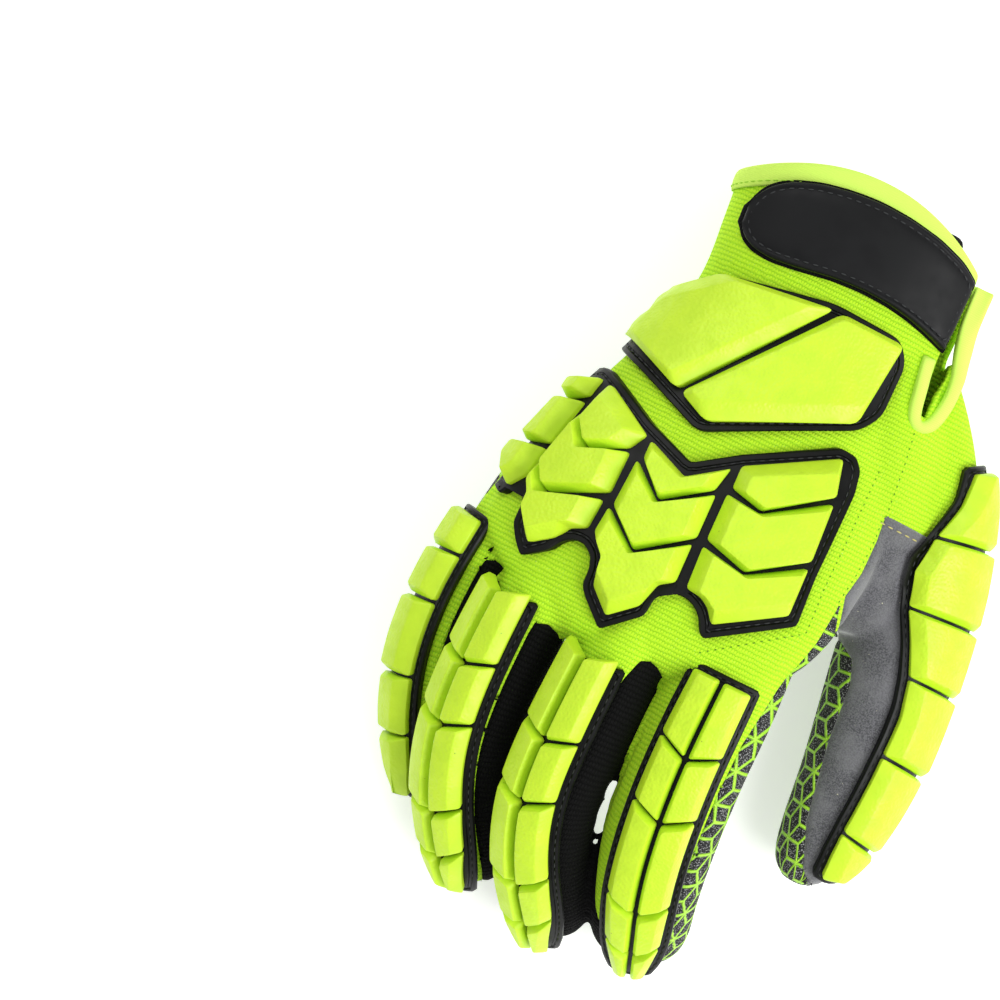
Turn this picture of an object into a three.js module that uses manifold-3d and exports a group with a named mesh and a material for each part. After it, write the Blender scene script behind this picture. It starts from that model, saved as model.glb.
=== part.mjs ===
// Impact glove for a right hand, resting palm down.
// Millimetres, +Y towards the fingertips, -X at the thumb, +Z up out of the back of the hand.
import * as THREE from "three";
import { mergeVertices } from "three/addons/utils/BufferGeometryUtils.js";
import Module from "manifold-3d";

const wasm = await Module();
wasm.setup();

// Driving sizes of the cloth body
const palmLength = 123; // edge of the cuff to the knuckle ends, at the sides of the hand
const palmWidth = 103; // across the knuckles
const palmHeight = 42; // thickness of the hand inside the palm
const clothWall = 1.8;
const clearance = 0.3; // gap that separate pieces keep

// Driving sizes of the fingers
const indexLength = 119;
const indexWidth = 33;
const middleLength = 123;
const middleWidth = 27;
const ringLength = 115;
const ringWidth = 26;
const pinkyLength = 101;
const pinkyWidth = 22.5;
const thumbLength = 158;
const thumbWidth = 34;
const ballLength = 88; // ball of the thumb, which fills the web to the palm
const ballWidth = 36;
const fingerThickness = 25;
const thumbThickness = 30;

// Driving sizes of the rubber guards
const plateThickness = 1.8;
const blockHeight = 4.2;
const blockChamfer = 1.5;
const blockGap = 1.1; // width of the grooves between blocks
const plateRim = 3.2; // bare rim of a plate outside its blocks
const fingerGuardWidth = 20.5;
const thumbGuardWidth = 20;
const pinkyGuardWidth = 15;

// Driving sizes of the cuff
const bindingWidth = 6;
const bindingThickness = 0.8;
const slitWidth = 2.4;
const slitLength = 44;
const pipingWidth = 6;
const pipingThickness = 1.6;
const strapWidth = 25;
const strapLength = 65.5;
const strapThickness = 2.6;
const tabLength = 50;
const tabWidth = 20;
const tabThickness = 2;
const tabSlotLength = 5;
const tabSlotWidth = 8;

// How finely the curved forms are faceted
const outerFacets = { limbSides: 12, limbSteps: 7, palmSides: 22, palmSteps: 9 };
const innerFacets = { limbSides: 8, limbSteps: 5, palmSides: 14, palmSteps: 6 };
const cutterSteps = 5;
const tipCrowding = 1.4; // above 1, the sections of a limb lie closer together at its tip
const archSides = 20;

// The hand lies with its cuff edge this far behind the middle
const cuffY = -0.858 * palmLength;

// Palm sections from cuff to knuckles. along is a share of palmLength, pinky and thumb are the side
// edges and bow the forward bulge as shares of palmWidth, middle and half are heights as shares of
// palmHeight, roll is in degrees and lowers the little-finger side.
const palmSections = [
  { along: 0.0, bow: -0.126, pinky: 0.456, thumb: -0.282, middle: 0.515, half: 0.465, roll: 0 },
  { along: 0.085, bow: -0.1, pinky: 0.442, thumb: -0.282, middle: 0.515, half: 0.47, roll: 0 },
  { along: 0.27, bow: -0.03, pinky: 0.427, thumb: -0.291, middle: 0.52, half: 0.48, roll: 0 },
  { along: 0.45, bow: 0.0, pinky: 0.49, thumb: -0.33, middle: 0.535, half: 0.54, roll: 3 },
  { along: 0.655, bow: 0.03, pinky: 0.583, thumb: -0.35, middle: 0.79, half: 0.455, roll: 7 },
  { along: 0.858, bow: 0.08, pinky: 0.646, thumb: -0.33, middle: 0.95, half: 0.37, roll: 11 },
  { along: 0.94, bow: 0.136, pinky: 0.675, thumb: -0.301, middle: 0.98, half: 0.33, roll: 13 },
  { along: 0.98, bow: 0.165, pinky: 0.67, thumb: -0.272, middle: 0.97, half: 0.25, roll: 13.5 },
  { along: 1.0, bow: 0.175, pinky: 0.641, thumb: -0.233, middle: 0.96, half: 0.13, roll: 13.5 },
];
const palmSquareness = 2.5;
const halfTurn = 180;
const fullTurn = 360;
const aroundStep = 2; // degrees of one step in measuring over a curved form
const steepest = 88; // a spot in plan lies at most this far round from the back of the hand

// Cross sections along a finger and the thumb, as shares of its width and thickness.
const fingerSections = [
  { along: 0.0, width: 0.86, thickness: 0.88 },
  { along: 0.3, width: 1.0, thickness: 1.0 },
  { along: 0.58, width: 1.0, thickness: 0.98 },
  { along: 0.8, width: 0.93, thickness: 0.92 },
  { along: 0.91, width: 0.86, thickness: 0.84 },
  { along: 0.965, width: 0.68, thickness: 0.64 },
  { along: 1.0, width: 0.3, thickness: 0.26 },
];
const ballSections = [
  { along: 0.0, width: 0.5, thickness: 1.0 },
  { along: 0.3, width: 0.9, thickness: 1.22 },
  { along: 0.6, width: 1.0, thickness: 1.16 },
  { along: 0.85, width: 0.8, thickness: 0.9 },
  { along: 0.95, width: 0.55, thickness: 0.66 },
  { along: 1.0, width: 0.24, thickness: 0.3 },
];
const thumbSections = [
  { along: 0.0, width: 0.5, thickness: 0.9 },
  { along: 0.2, width: 0.85, thickness: 1.06 },
  { along: 0.35, width: 1.0, thickness: 1.06 },
  { along: 0.5, width: 1.04, thickness: 1.06 },
  { along: 0.68, width: 0.98, thickness: 1.0 },
  { along: 0.85, width: 0.78, thickness: 0.84 },
  { along: 0.94, width: 0.62, thickness: 0.66 },
  { along: 0.98, width: 0.46, thickness: 0.48 },
  { along: 1.0, width: 0.24, thickness: 0.24 },
];

// Limbs of the hand. x is a share of palmWidth, y of palmLength and z of palmHeight, where the limb
// starts inside the palm. Each bend gives the heading at a share of the limb's length: turn is
// degrees towards the thumb side, dip is degrees downwards. roll turns the back of the limb towards
// the little finger.
const limbs = {
  index: {
    length: indexLength,
    width: indexWidth,
    thickness: fingerThickness * 1.04,
    sections: fingerSections,
    start: { x: -0.122, y: 0.0, z: 1.08 },
    roll: 8,
    bends: [
      { along: 0.0, turn: 0, dip: -4 },
      { along: 0.3, turn: 1, dip: 5 },
      { along: 0.5, turn: 6, dip: 15 },
      { along: 0.66, turn: 12, dip: 28 },
      { along: 0.8, turn: 19, dip: 42 },
      { along: 1.0, turn: 22, dip: 52 },
    ],
  },
  middle: {
    length: middleLength,
    width: middleWidth,
    thickness: fingerThickness * 0.96,
    sections: fingerSections,
    start: { x: 0.163, y: 0.03, z: 1.05 },
    roll: 35,
    bends: [
      { along: 0.0, turn: 0, dip: -4 },
      { along: 0.3, turn: 0, dip: 5 },
      { along: 0.5, turn: 4, dip: 16 },
      { along: 0.64, turn: 18, dip: 28 },
      { along: 0.8, turn: 32, dip: 42 },
      { along: 1.0, turn: 38, dip: 52 },
    ],
  },
  ring: {
    length: ringLength,
    width: ringWidth,
    thickness: fingerThickness * 0.92,
    sections: fingerSections,
    start: { x: 0.428, y: 0.03, z: 0.86 },
    roll: 45,
    bends: [
      { along: 0.0, turn: 0, dip: -3 },
      { along: 0.3, turn: 0, dip: 5 },
      { along: 0.5, turn: 6, dip: 14 },
      { along: 0.66, turn: 20, dip: 24 },
      { along: 0.82, turn: 32, dip: 34 },
      { along: 1.0, turn: 42, dip: 42 },
    ],
  },
  pinky: {
    length: pinkyLength,
    width: pinkyWidth,
    thickness: fingerThickness * 0.82,
    sections: fingerSections,
    start: { x: 0.58, y: -0.02, z: 0.6 },
    roll: 60,
    bends: [
      { along: 0.0, turn: -6, dip: 0 },
      { along: 0.3, turn: -3, dip: 6 },
      { along: 0.5, turn: 6, dip: 12 },
      { along: 0.66, turn: 18, dip: 17 },
      { along: 0.82, turn: 30, dip: 24 },
      { along: 1.0, turn: 38, dip: 30 },
    ],
  },
  thumb: {
    length: thumbLength,
    width: thumbWidth,
    thickness: thumbThickness,
    sections: thumbSections,
    start: { x: -0.172, y: -0.66, z: 0.52 },
    roll: -45,
    bends: [
      { along: 0.0, turn: 42, dip: 3 },
      { along: 0.15, turn: 34, dip: 3 },
      { along: 0.3, turn: 20, dip: 3 },
      { along: 0.45, turn: 12, dip: 1 },
      { along: 0.7, turn: 6, dip: 2 },
      { along: 0.85, turn: -1, dip: 6 },
      { along: 1.0, turn: -3, dip: 12 },
    ],
  },
  ball: {
    length: ballLength,
    width: ballWidth,
    thickness: thumbThickness,
    sections: ballSections,
    start: { x: -0.1, y: -0.69, z: 0.54 },
    roll: -25,
    bends: [
      { along: 0.0, turn: 30, dip: 0 },
      { along: 0.5, turn: 18, dip: -4 },
      { along: 1.0, turn: 8, dip: -6 },
    ],
  },
};

const radians = THREE.MathUtils.degToRad;
const mixed = (a, b, share) => a + (b - a) * share;
const signedPower = (value, power) => Math.sign(value) * Math.abs(value) ** power;

// Smooth value of one column of a table at a share of its length
function sample(rows, column, along) {
  const last = rows.length - 2;
  let i = 0;
  while (i < last && along > rows[i + 1].along) i += 1;
  const [a, b] = [rows[i], rows[i + 1]];
  const before = rows[Math.max(i - 1, 0)];
  const after = rows[Math.min(i + 2, rows.length - 1)];
  const span = b.along - a.along;
  const t = THREE.MathUtils.clamp((along - a.along) / span, 0, 1);
  const slopeA = ((b[column] - before[column]) / (b.along - before.along)) * span;
  const slopeB = ((after[column] - a[column]) / (after.along - a.along)) * span;
  const rise = b[column] - a[column];
  return a[column] + t * slopeA + t * t * (3 * rise - 2 * slopeA - slopeB)
    + t * t * t * (slopeA + slopeB - 2 * rise);
}

// Share of a growth that also moves the closed end of a form forwards
const endShare = (along) => THREE.MathUtils.clamp((along - 0.8) / 0.2, 0, 1) ** 2;

// Point on the palm form. around is 0 at the back of the hand, 90 at the little-finger side and 180
// at the palm; grow moves the form outwards.
function palmForm(along, around, grow = 0) {
  const side = signedPower(Math.sin(radians(around)), 2 / palmSquareness);
  const rise = signedPower(Math.cos(radians(around)), 2 / palmSquareness);
  const pinky = sample(palmSections, "pinky", along) * palmWidth;
  const thumb = sample(palmSections, "thumb", along) * palmWidth;
  const roll = -radians(sample(palmSections, "roll", along));
  const halfWidth = (pinky - thumb) / 2 + grow;
  const halfHeight = sample(palmSections, "half", along) * palmHeight + grow;
  const x = (pinky + thumb) / 2 + halfWidth * side * Math.cos(roll) - halfHeight * rise * Math.sin(roll);
  const z = sample(palmSections, "middle", along) * palmHeight
    + halfWidth * side * Math.sin(roll) + halfHeight * rise * Math.cos(roll);
  const bow = sample(palmSections, "bow", along) * palmWidth;
  const y = cuffY + along * palmLength + bow * (1 - side * side) + grow * endShare(along);
  return new THREE.Vector3(x, y, z);
}

// Spine of a limb: evenly spaced frames with a centre, a forward, a side and a back direction
const spineSteps = 60;
for (const limb of Object.values(limbs)) {
  const { start, length, bends } = limb;
  const centre = new THREE.Vector3(start.x * palmWidth, start.y * palmLength, start.z * palmHeight);
  limb.spine = [];
  for (let i = 0; i <= spineSteps; i += 1) {
    const along = i / spineSteps;
    const turn = radians(sample(bends, "turn", along));
    const dip = radians(sample(bends, "dip", along));
    const forward = new THREE.Vector3(
      -Math.sin(turn) * Math.cos(dip), Math.cos(turn) * Math.cos(dip), -Math.sin(dip));
    const level = new THREE.Vector3().crossVectors(forward, new THREE.Vector3(0, 0, 1)).normalize();
    const upward = new THREE.Vector3().crossVectors(level, forward);
    const side = level.clone().applyAxisAngle(forward, radians(limb.roll));
    const back = upward.clone().applyAxisAngle(forward, radians(limb.roll));
    limb.spine.push({ centre: centre.clone(), forward, side, back });
    centre.addScaledVector(forward, length / spineSteps);
  }
}

function spineAt(limb, along) {
  const place = THREE.MathUtils.clamp(along, 0, 1) * spineSteps;
  const i = Math.min(Math.floor(place), spineSteps - 1);
  const [a, b] = [limb.spine[i], limb.spine[i + 1]];
  const mix = (name) => a[name].clone().lerp(b[name], place - i);
  const directions = ["forward", "side", "back"].map((name) => mix(name).normalize());
  const [forward, side, back] = directions;
  return { centre: mix("centre"), forward, side, back };
}

// Point on a limb. around is degrees from the back of the limb towards its little-finger side.
function limbForm(limb, along, around, grow = 0) {
  const { centre, forward, side, back } = spineAt(limb, along);
  const halfWidth = sample(limb.sections, "width", along) * limb.width / 2;
  const halfThickness = sample(limb.sections, "thickness", along) * limb.thickness / 2;
  const [sine, cosine] = [Math.sin(radians(around)), Math.cos(radians(around))];
  const outward = side.clone().multiplyScalar(sine / halfWidth)
    .addScaledVector(back, cosine / halfThickness).normalize();
  return centre.addScaledVector(side, halfWidth * sine).addScaledVector(back, halfThickness * cosine)
    .addScaledVector(outward, grow).addScaledVector(forward, grow * endShare(along));
}

// Solid from rings of points that all have the same count, closed at both ends
function ringSolid(rings) {
  const count = rings[0].length;
  const centreOf = (ring) => ring.reduce((sum, p) => sum.add(p), new THREE.Vector3())
    .divideScalar(count);
  const points = [...rings.flat(), centreOf(rings[0]), centreOf(rings.at(-1))];
  const faces = [];
  for (let i = 0; i + 1 < rings.length; i += 1) {
    for (let j = 0; j < count; j += 1) {
      const next = (j + 1) % count;
      const [a, b] = [i * count + j, i * count + next];
      faces.push(a, b, b + count, a, b + count, a + count);
    }
  }
  const top = (rings.length - 1) * count;
  for (let j = 0; j < count; j += 1) {
    const next = (j + 1) % count;
    faces.push(points.length - 2, next, j, points.length - 1, top + j, top + next);
  }
  return solidOf(points, faces);
}

// Solid between two grids of points, an upper and a lower one, each a list of equal rows
function gridSolid(upper, lower) {
  const [rows, columns] = [upper.length, upper[0].length];
  const size = rows * columns;
  const points = [...upper.flat(), ...lower.flat()];
  const faces = [];
  const quad = (a, b, c, d) => faces.push(a, b, c, a, c, d);
  for (let i = 0; i + 1 < rows; i += 1) {
    for (let j = 0; j + 1 < columns; j += 1) {
      const a = i * columns + j;
      quad(a, a + 1, a + columns + 1, a + columns);
      quad(size + a, size + a + columns, size + a + columns + 1, size + a + 1);
    }
  }
  for (let j = 0; j + 1 < columns; j += 1) {
    const far = (rows - 1) * columns + j;
    quad(j + 1, j, size + j, size + j + 1);
    quad(far, far + 1, size + far + 1, size + far);
  }
  for (let i = 0; i + 1 < rows; i += 1) {
    const [a, b] = [i * columns, (i + 1) * columns];
    quad(a, b, size + b, size + a);
    quad(b + columns - 1, a + columns - 1, size + a + columns - 1, size + b + columns - 1);
  }
  return solidOf(points, faces);
}

function solidOf(points, faces) {
  const build = (triVerts) => new wasm.Manifold(new wasm.Mesh({
    numProp: 3,
    vertProperties: new Float32Array(points.flatMap((p) => [p.x, p.y, p.z])),
    triVerts: new Uint32Array(triVerts),
  }));
  const solid = build(faces);
  if (solid.volume() > 0) return solid;
  const turned = [];
  for (let i = 0; i < faces.length; i += 3) turned.push(faces[i], faces[i + 2], faces[i + 1]);
  return build(turned);
}

// A three.js geometry as a solid, with its shared corners merged
function fromGeometry(geometry) {
  const plain = geometry.clone();
  plain.deleteAttribute("normal");
  plain.deleteAttribute("uv");
  const merged = mergeVertices(plain, 1e-4);
  return new wasm.Manifold(new wasm.Mesh({
    numProp: 3,
    vertProperties: merged.attributes.position.array,
    triVerts: merged.index.array,
  }));
}

// Upright prism over a closed outline of [x, y] pairs
function prism(outline, low, high) {
  const shape = new THREE.Shape(outline.map(([x, y]) => new THREE.Vector2(x, y)));
  const geometry = new THREE.ExtrudeGeometry(shape, { depth: high - low, bevelEnabled: false });
  geometry.translate(0, 0, low);
  return fromGeometry(geometry);
}

const reach = 3 * palmWidth;
const rectangle = (x0, y0, x1, y1) => [[x0, y0], [x1, y0], [x1, y1], [x0, y1]];
const shareX = (share) => share * palmWidth;
const shareY = (share) => share * palmLength;
const outlineOf = (rows) => rows.map((row) => [shareX(row.x), shareY(row.y)]);

// Space above the surface that the hand lies on. The pull tab lifts the cuff by its own thickness.
const heelY = cuffY + 0.32 * palmLength;
function aboveTable(wall) {
  const all = rectangle(-reach, -reach, reach, reach);
  const pastHeel = rectangle(-reach, heelY, reach, reach);
  return prism(all, tabThickness + clearance + wall, reach).add(prism(pastHeel, wall, reach));
}

// Tube of the palm form between two shares of its length
function palmTube(from, to, grow, steps, sides) {
  const rings = [];
  for (let i = 0; i <= steps; i += 1) {
    const along = from + ((to - from) * i) / steps;
    const ring = [];
    for (let j = 0; j < sides; j += 1) ring.push(palmForm(along, (fullTurn * j) / sides, grow));
    rings.push(ring);
  }
  return ringSolid(rings);
}

// The whole hand as one solid, grown outwards or inwards, and flat where it rests
const cuffOvershoot = 0.1;
function handSolid(grow, wall, facets) {
  const { limbSides, limbSteps, palmSides, palmSteps } = facets;
  const start = wall > 0 ? -cuffOvershoot : 0;
  let hand = palmTube(start, 1, grow, palmSteps, palmSides);
  for (const limb of Object.values(limbs)) {
    const rings = [];
    for (let i = 0; i <= limbSteps; i += 1) {
      const along = 1 - (1 - i / limbSteps) ** tipCrowding;
      const ring = [];
      for (let j = 0; j < limbSides; j += 1) {
        ring.push(limbForm(limb, along, (fullTurn * j) / limbSides, grow));
      }
      rings.push(ring);
    }
    hand = hand.add(ringSolid(rings));
  }
  return hand.intersect(aboveTable(wall));
}

// Side strips between two fingers, seen in plan between a line along each finger. A shift is a share
// of the finger's half width from its middle, leaves the share of its length where the strip begins.
const gussets = [
  { first: "index", firstShift: 0.88, second: "middle", secondShift: -0.2, leaves: 0.2 },
  { first: "middle", firstShift: 0.8, second: "ring", secondShift: -0.13, leaves: 0.2 },
  { first: "ring", firstShift: 0.8, second: "pinky", secondShift: 0.05, leaves: 0.16 },
];
const pastTip = 12; // cuts run on this far past a fingertip, and drift half as far to the thumb side

function fingerLine(limb, shift, leaves) {
  const line = [];
  for (let i = 0; i <= cutterSteps; i += 1) {
    const along = mixed(leaves, 1, i / cutterSteps);
    const { centre } = spineAt(limb, along);
    line.push([centre.x + shift * limb.width / 2 * sample(limb.sections, "width", along), centre.y]);
  }
  const [x, y] = line.at(-1);
  return [...line, [x - pastTip / 2, y + pastTip]];
}

function gussetCutter(row, extra) {
  const first = fingerLine(limbs[row.first], row.firstShift, row.leaves);
  const second = fingerLine(limbs[row.second], row.secondShift, row.leaves);
  const atHeight = (z) => first.map(([x, y], i) => {
    const back = i === 0 ? extra : 0;
    const [farX, farY] = second[i];
    return [new THREE.Vector3(x - extra, y - back, z), new THREE.Vector3(farX + extra, farY - back, z)];
  });
  return gridSolid(atHeight(reach), atHeight(-reach)).subtract(lowerCutter(clearance - extra));
}

// Suede over the thumb and the web beside it, as an outline in plan above a level seam
const patchOutline = [
  { x: -0.309, y: -0.295 },
  { x: -0.317, y: -0.236 },
  { x: -0.316, y: -0.152 },
  { x: -0.301, y: -0.09 },
  { x: -0.33, y: -0.012 },
  { x: -0.407, y: 0.031 },
  { x: -0.432, y: 0.085 },
  { x: -0.449, y: 0.22 },
  { x: -0.496, y: 0.406 },
  { x: -0.551, y: 0.508 },
  { x: -0.602, y: 0.548 },
  { x: -0.602, y: 0.65 },
  { x: -1.0, y: 0.65 },
  { x: -1.0, y: -0.295 },
];
const patchSeam = 0.215; // height of the level seam, as a share of palmHeight
function grownOutline(outline, extra) {
  const shape = outline.map(([x, y]) => new THREE.Vector2(x, y));
  const turn = THREE.ShapeUtils.isClockWise(shape) ? -1 : 1;
  return shape.map((point, i) => {
    const before = shape.at(i - 1);
    const after = shape[(i + 1) % shape.length];
    const along = after.clone().sub(before).normalize();
    return [point.x + turn * along.y * extra, point.y - turn * along.x * extra];
  });
}
function patchCutter(extra) {
  return prism(grownOutline(outlineOf(patchOutline), extra), patchSeam * palmHeight - extra, reach);
}

// Everything on the palm side: below a level that follows the middle of the hand and of each finger,
// and the thumb's inner side
const thumbInside = [
  { x: -0.33, y: -0.295 },
  { x: -0.33, y: -0.002 },
  { x: -0.35, y: 0.04 },
  { x: -0.372, y: 0.5 },
  { x: -0.45, y: 0.65 },
  { x: -1.0, y: 0.65 },
  { x: -1.0, y: -0.295 },
];
const seamDrop = 2.5; // side seams lie this far below the middle of the hand
const lowestSeam = 3;
const fingerNames = ["index", "middle", "ring", "pinky"];

function palmLevel(x, along) {
  const pinky = sample(palmSections, "pinky", along) * palmWidth;
  const thumb = sample(palmSections, "thumb", along) * palmWidth;
  const slope = -Math.tan(radians(sample(palmSections, "roll", along)));
  return sample(palmSections, "middle", along) * palmHeight + (x - (pinky + thumb) / 2) * slope;
}

function seamRow(places) {
  const row = places.map(([x, y, z]) => new THREE.Vector3(x, y, Math.max(z - seamDrop, lowestSeam)));
  const [first, last] = [row[0], row.at(-1)];
  const farBefore = new THREE.Vector3(-reach, first.y, first.z);
  const farAfter = new THREE.Vector3(reach, last.y, last.z);
  return [farBefore, ...row, farAfter];
}

function lowerCutter(extra) {
  const rows = [];
  const palmShares = [-0.2, 0, 0.27, 0.45, 0.655, 0.858];
  for (const along of palmShares) {
    const y = cuffY + along * palmLength;
    const sides = [-0.3, -0.12, 0.16, 0.43, 0.6].map(shareX);
    rows.push(seamRow(sides.map((x) => [x, y, palmLevel(x, along)])));
  }
  for (let i = 1; i <= cutterSteps; i += 1) {
    const along = mixed(0.12, 1, i / cutterSteps);
    const centres = fingerNames.map((name) => spineAt(limbs[name], along).centre.toArray());
    const [x, y, z] = centres[0];
    rows.push(seamRow([[x - indexWidth / 2, y, z], ...centres]));
  }
  rows.push(rows.at(-1).map((p) => new THREE.Vector3(p.x, p.y + pastTip, lowestSeam)));
  const upper = rows.map((row) => row.map((p) => p.clone().setZ(p.z + extra)));
  const lower = rows.map((row) => row.map((p) => p.clone().setZ(-reach)));
  const inside = prism(grownOutline(outlineOf(thumbInside), extra), -reach, reach);
  return gridSolid(upper, lower).add(inside);
}

// Direction and distance along the palm form below a point in plan
function palmSpot(x, y, grow) {
  let along = (y - cuffY) / palmLength;
  let around = 0;
  const passes = 6;
  for (let pass = 0; pass < passes; pass += 1) {
    around = bisect((value) => palmForm(along, value, grow).x - x, -steepest, steepest);
    along = bisect((value) => palmForm(value, around, grow).y - y, -0.1, 1);
  }
  return { along, around };
}

function bisect(rising, low, high) {
  let [a, b] = [low, high];
  const halvings = 24;
  for (let i = 0; i < halvings; i += 1) {
    const middle = (a + b) / 2;
    if (rising(middle) < 0) a = middle;
    else b = middle;
  }
  return (a + b) / 2;
}

// Direction around a limb at a distance along its surface from the back of the limb
function limbAround(limb, along, distance) {
  let left = Math.abs(distance);
  let around = 0;
  let from = limbForm(limb, along, 0);
  let stride = from.distanceTo(limbForm(limb, along, aroundStep));
  while (left > stride && around < halfTurn - aroundStep) {
    left -= stride;
    around += aroundStep;
    from = limbForm(limb, along, around);
    stride = from.distanceTo(limbForm(limb, along, around + aroundStep));
  }
  return Math.sign(distance) * (around + aroundStep * (left / stride));
}

// Values from 0 to 1 with an extra stop close to both ends
const stops = (count, edge) => {
  const inside = Array.from({ length: count }, (_, i) => mixed(edge, 1 - edge, i / (count - 1)));
  return edge > 0 ? [0, ...inside, 1] : inside;
};

// Point at a share of a polyline of [x, y] points
function onLine(points, share) {
  const place = THREE.MathUtils.clamp(share, 0, 1) * (points.length - 1);
  const i = Math.min(Math.floor(place), points.length - 2);
  return [0, 1].map((axis) => mixed(points[i][axis], points[i + 1][axis], place - i));
}

// Solid on a form from a grid of surface spots, bottom to top above the cloth. Its border is lower
// by the chamfer.
function cover(spots, place, bottom, top, chamfer) {
  const last = spots.length - 1;
  const side = spots[0].length - 1;
  const low = (i, j) => i === 0 || j === 0 || i === last || j === side;
  const upper = spots.map((row, i) => row.map((spot, j) => {
    return place(spot, low(i, j) ? top - chamfer : top - (spot.groove ?? 0));
  }));
  const lower = spots.map((row) => row.map((spot) => place(spot, bottom)));
  return gridSolid(upper, lower);
}

// Cover on the back of the palm between lines in plan, each a list of [x, y] points
function palmCover(lines, across, lengthwise, bottom, top, chamfer) {
  const spots = lengthwise.map((v) => across.map((u) => {
    const line = lines.map((points) => onLine(points, u));
    const [x, y] = onLine(line, v);
    return palmSpot(x, y, top);
  }));
  return cover(spots, (spot, h) => palmForm(spot.along, spot.around, h), bottom, top, chamfer);
}

const plateBottom = 2.5 * clearance; // leaves room for the facets of the cloth below
const plateTop = plateBottom + plateThickness;
const blockBottom = plateTop + 1.6 * clearance;
const blockTop = blockBottom + blockHeight;
const asPoints = (row, ...keys) => keys.map(([x, y]) => [shareX(row[x]), shareY(row[y])]);

// Guard strip along a limb. outer and inner reach from its middle, as shares of the guard's width.
const guards = {
  index: { from: 0.19, to: 0.945, width: fingerGuardWidth, rows: [0, 0.26, 0.45, 0.72, 0.87, 1] },
  middle: { from: 0.24, to: 0.955, width: fingerGuardWidth, rows: [0, 0.285, 0.465, 0.7, 0.855, 1] },
  ring: { from: 0.21, to: 0.955, width: fingerGuardWidth, rows: [0, 0.262, 0.45, 0.705, 0.855, 1] },
  pinky: { from: 0.16, to: 0.95, width: pinkyGuardWidth, rows: [0, 0.18, 0.35, 0.6, 0.79, 1] },
  thumb: { from: 0.21, to: 0.955, width: thumbGuardWidth, rows: [0, 0.16, 0.34, 0.5, 0.69, 0.88, 1] },
};
const guardTaper = [
  { along: 0, outer: 0.48, inner: 0.48 },
  { along: 0.12, outer: 0.5, inner: 0.5 },
  { along: 0.7, outer: 0.5, inner: 0.5 },
  { along: 0.9, outer: 0.42, inner: 0.42 },
  { along: 1, outer: 0.26, inner: 0.26 },
];
const thumbTaper = [ // bulges towards the fingers over the thumb's lower joint
  { along: 0, outer: 0.3, inner: 0.16 },
  { along: 0.1, outer: 0.45, inner: 0.42 },
  { along: 0.25, outer: 0.5, inner: 0.8 },
  { along: 0.45, outer: 0.5, inner: 0.66 },
  { along: 0.7, outer: 0.5, inner: 0.5 },
  { along: 0.9, outer: 0.42, inner: 0.42 },
  { along: 1, outer: 0.26, inner: 0.26 },
];

function limbCover(name, shares, across, inset, bottom, top, chamfer, groove) {
  const limb = limbs[name];
  const guard = guards[name];
  const spots = shares.map((share) => {
    const along = mixed(guard.from, guard.to, share);
    const taper = name === "thumb" ? thumbTaper : guardTaper;
    const outer = sample(taper, "outer", share) * guard.width - inset;
    const inner = sample(taper, "inner", share) * guard.width - inset;
    return across.map((u) => ({
      along,
      around: limbAround(limb, along, mixed(-outer, inner, u)),
      groove: Math.abs(u - 0.5) < 0.01 ? groove : 0,
    }));
  });
  return cover(spots, (spot, h) => limbForm(limb, spot.along, spot.around, h), bottom, top, chamfer);
}

const group = new THREE.Group();
const lime = 0xb4ff1e;
const limeRubber = 0xcdf23a;
const paleLime = 0xc8ff5a;
const black = 0x141614;
const blackCloth = 0x1a1b1a;
const suede = 0x6e6e72;
const heather = 0x8f9a55;

const finestEdge = 0.03; // cuts leave no sliver finer than this
function piece(name, solid, colour, roughness) {
  const whole = solid.simplify(finestEdge).decompose().sort((a, b) => b.volume() - a.volume())[0];
  const mesh = whole.getMesh();
  const geometry = new THREE.BufferGeometry();
  geometry.setAttribute("position", new THREE.BufferAttribute(mesh.vertProperties, 3));
  geometry.setIndex(new THREE.BufferAttribute(mesh.triVerts, 1));
  const material = new THREE.MeshStandardMaterial({ color: colour, roughness, metalness: 0 });
  const part = new THREE.Mesh(geometry, material);
  part.name = name;
  group.add(part);
}

// Cloth body: a hollow hand, open at the cuff
const outer = handSolid(0, 0, outerFacets);
const inner = handSolid(-clothWall, clothWall, innerFacets);
const bindingShare = bindingWidth / palmLength;
const seamShare = clearance / palmLength;
const slitX = shareX(-0.243);
const slitEndY = cuffY + slitLength;
const slitCut = prism(rectangle(slitX - slitWidth / 2, -reach, slitX + slitWidth / 2, slitEndY),
  palmHeight / 2, reach);
const bandFacets = [2, outerFacets.palmSides];
const cuffCut = palmTube(-cuffOvershoot, bindingShare + seamShare, clothWall, ...bandFacets);
const cloth = outer.subtract(inner).subtract(cuffCut).subtract(slitCut);

const gussetCuts = gussets.map((row) => gussetCutter(row, 0));
const wideCuts = [...gussets.map((row) => gussetCutter(row, clearance)), patchCutter(clearance)];
const withoutTrim = (solid) => wideCuts.reduce((left, cut) => left.subtract(cut), solid);
piece("back_panel", withoutTrim(cloth.subtract(lowerCutter(clearance))), lime, 0.9);
piece("palm_panel", withoutTrim(cloth.intersect(lowerCutter(0))), heather, 0.85);
piece("thumb_patch", cloth.intersect(patchCutter(0)), suede, 0.95);
gussetCuts.forEach((cut, i) => {
  const strip = cloth.intersect(cut).subtract(patchCutter(clearance));
  piece(`gusset_${i + 1}`, strip, blackCloth, 0.95);
});

// Band round the cuff
const band = palmTube(0, bindingShare, bindingThickness, ...bandFacets)
  .subtract(palmTube(-cuffOvershoot, bindingShare + cuffOvershoot, -clothWall, ...bandFacets))
  .intersect(aboveTable(0))
  .subtract(slitCut);
piece("cuff_binding", band, paleLime, 0.8);

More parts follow.
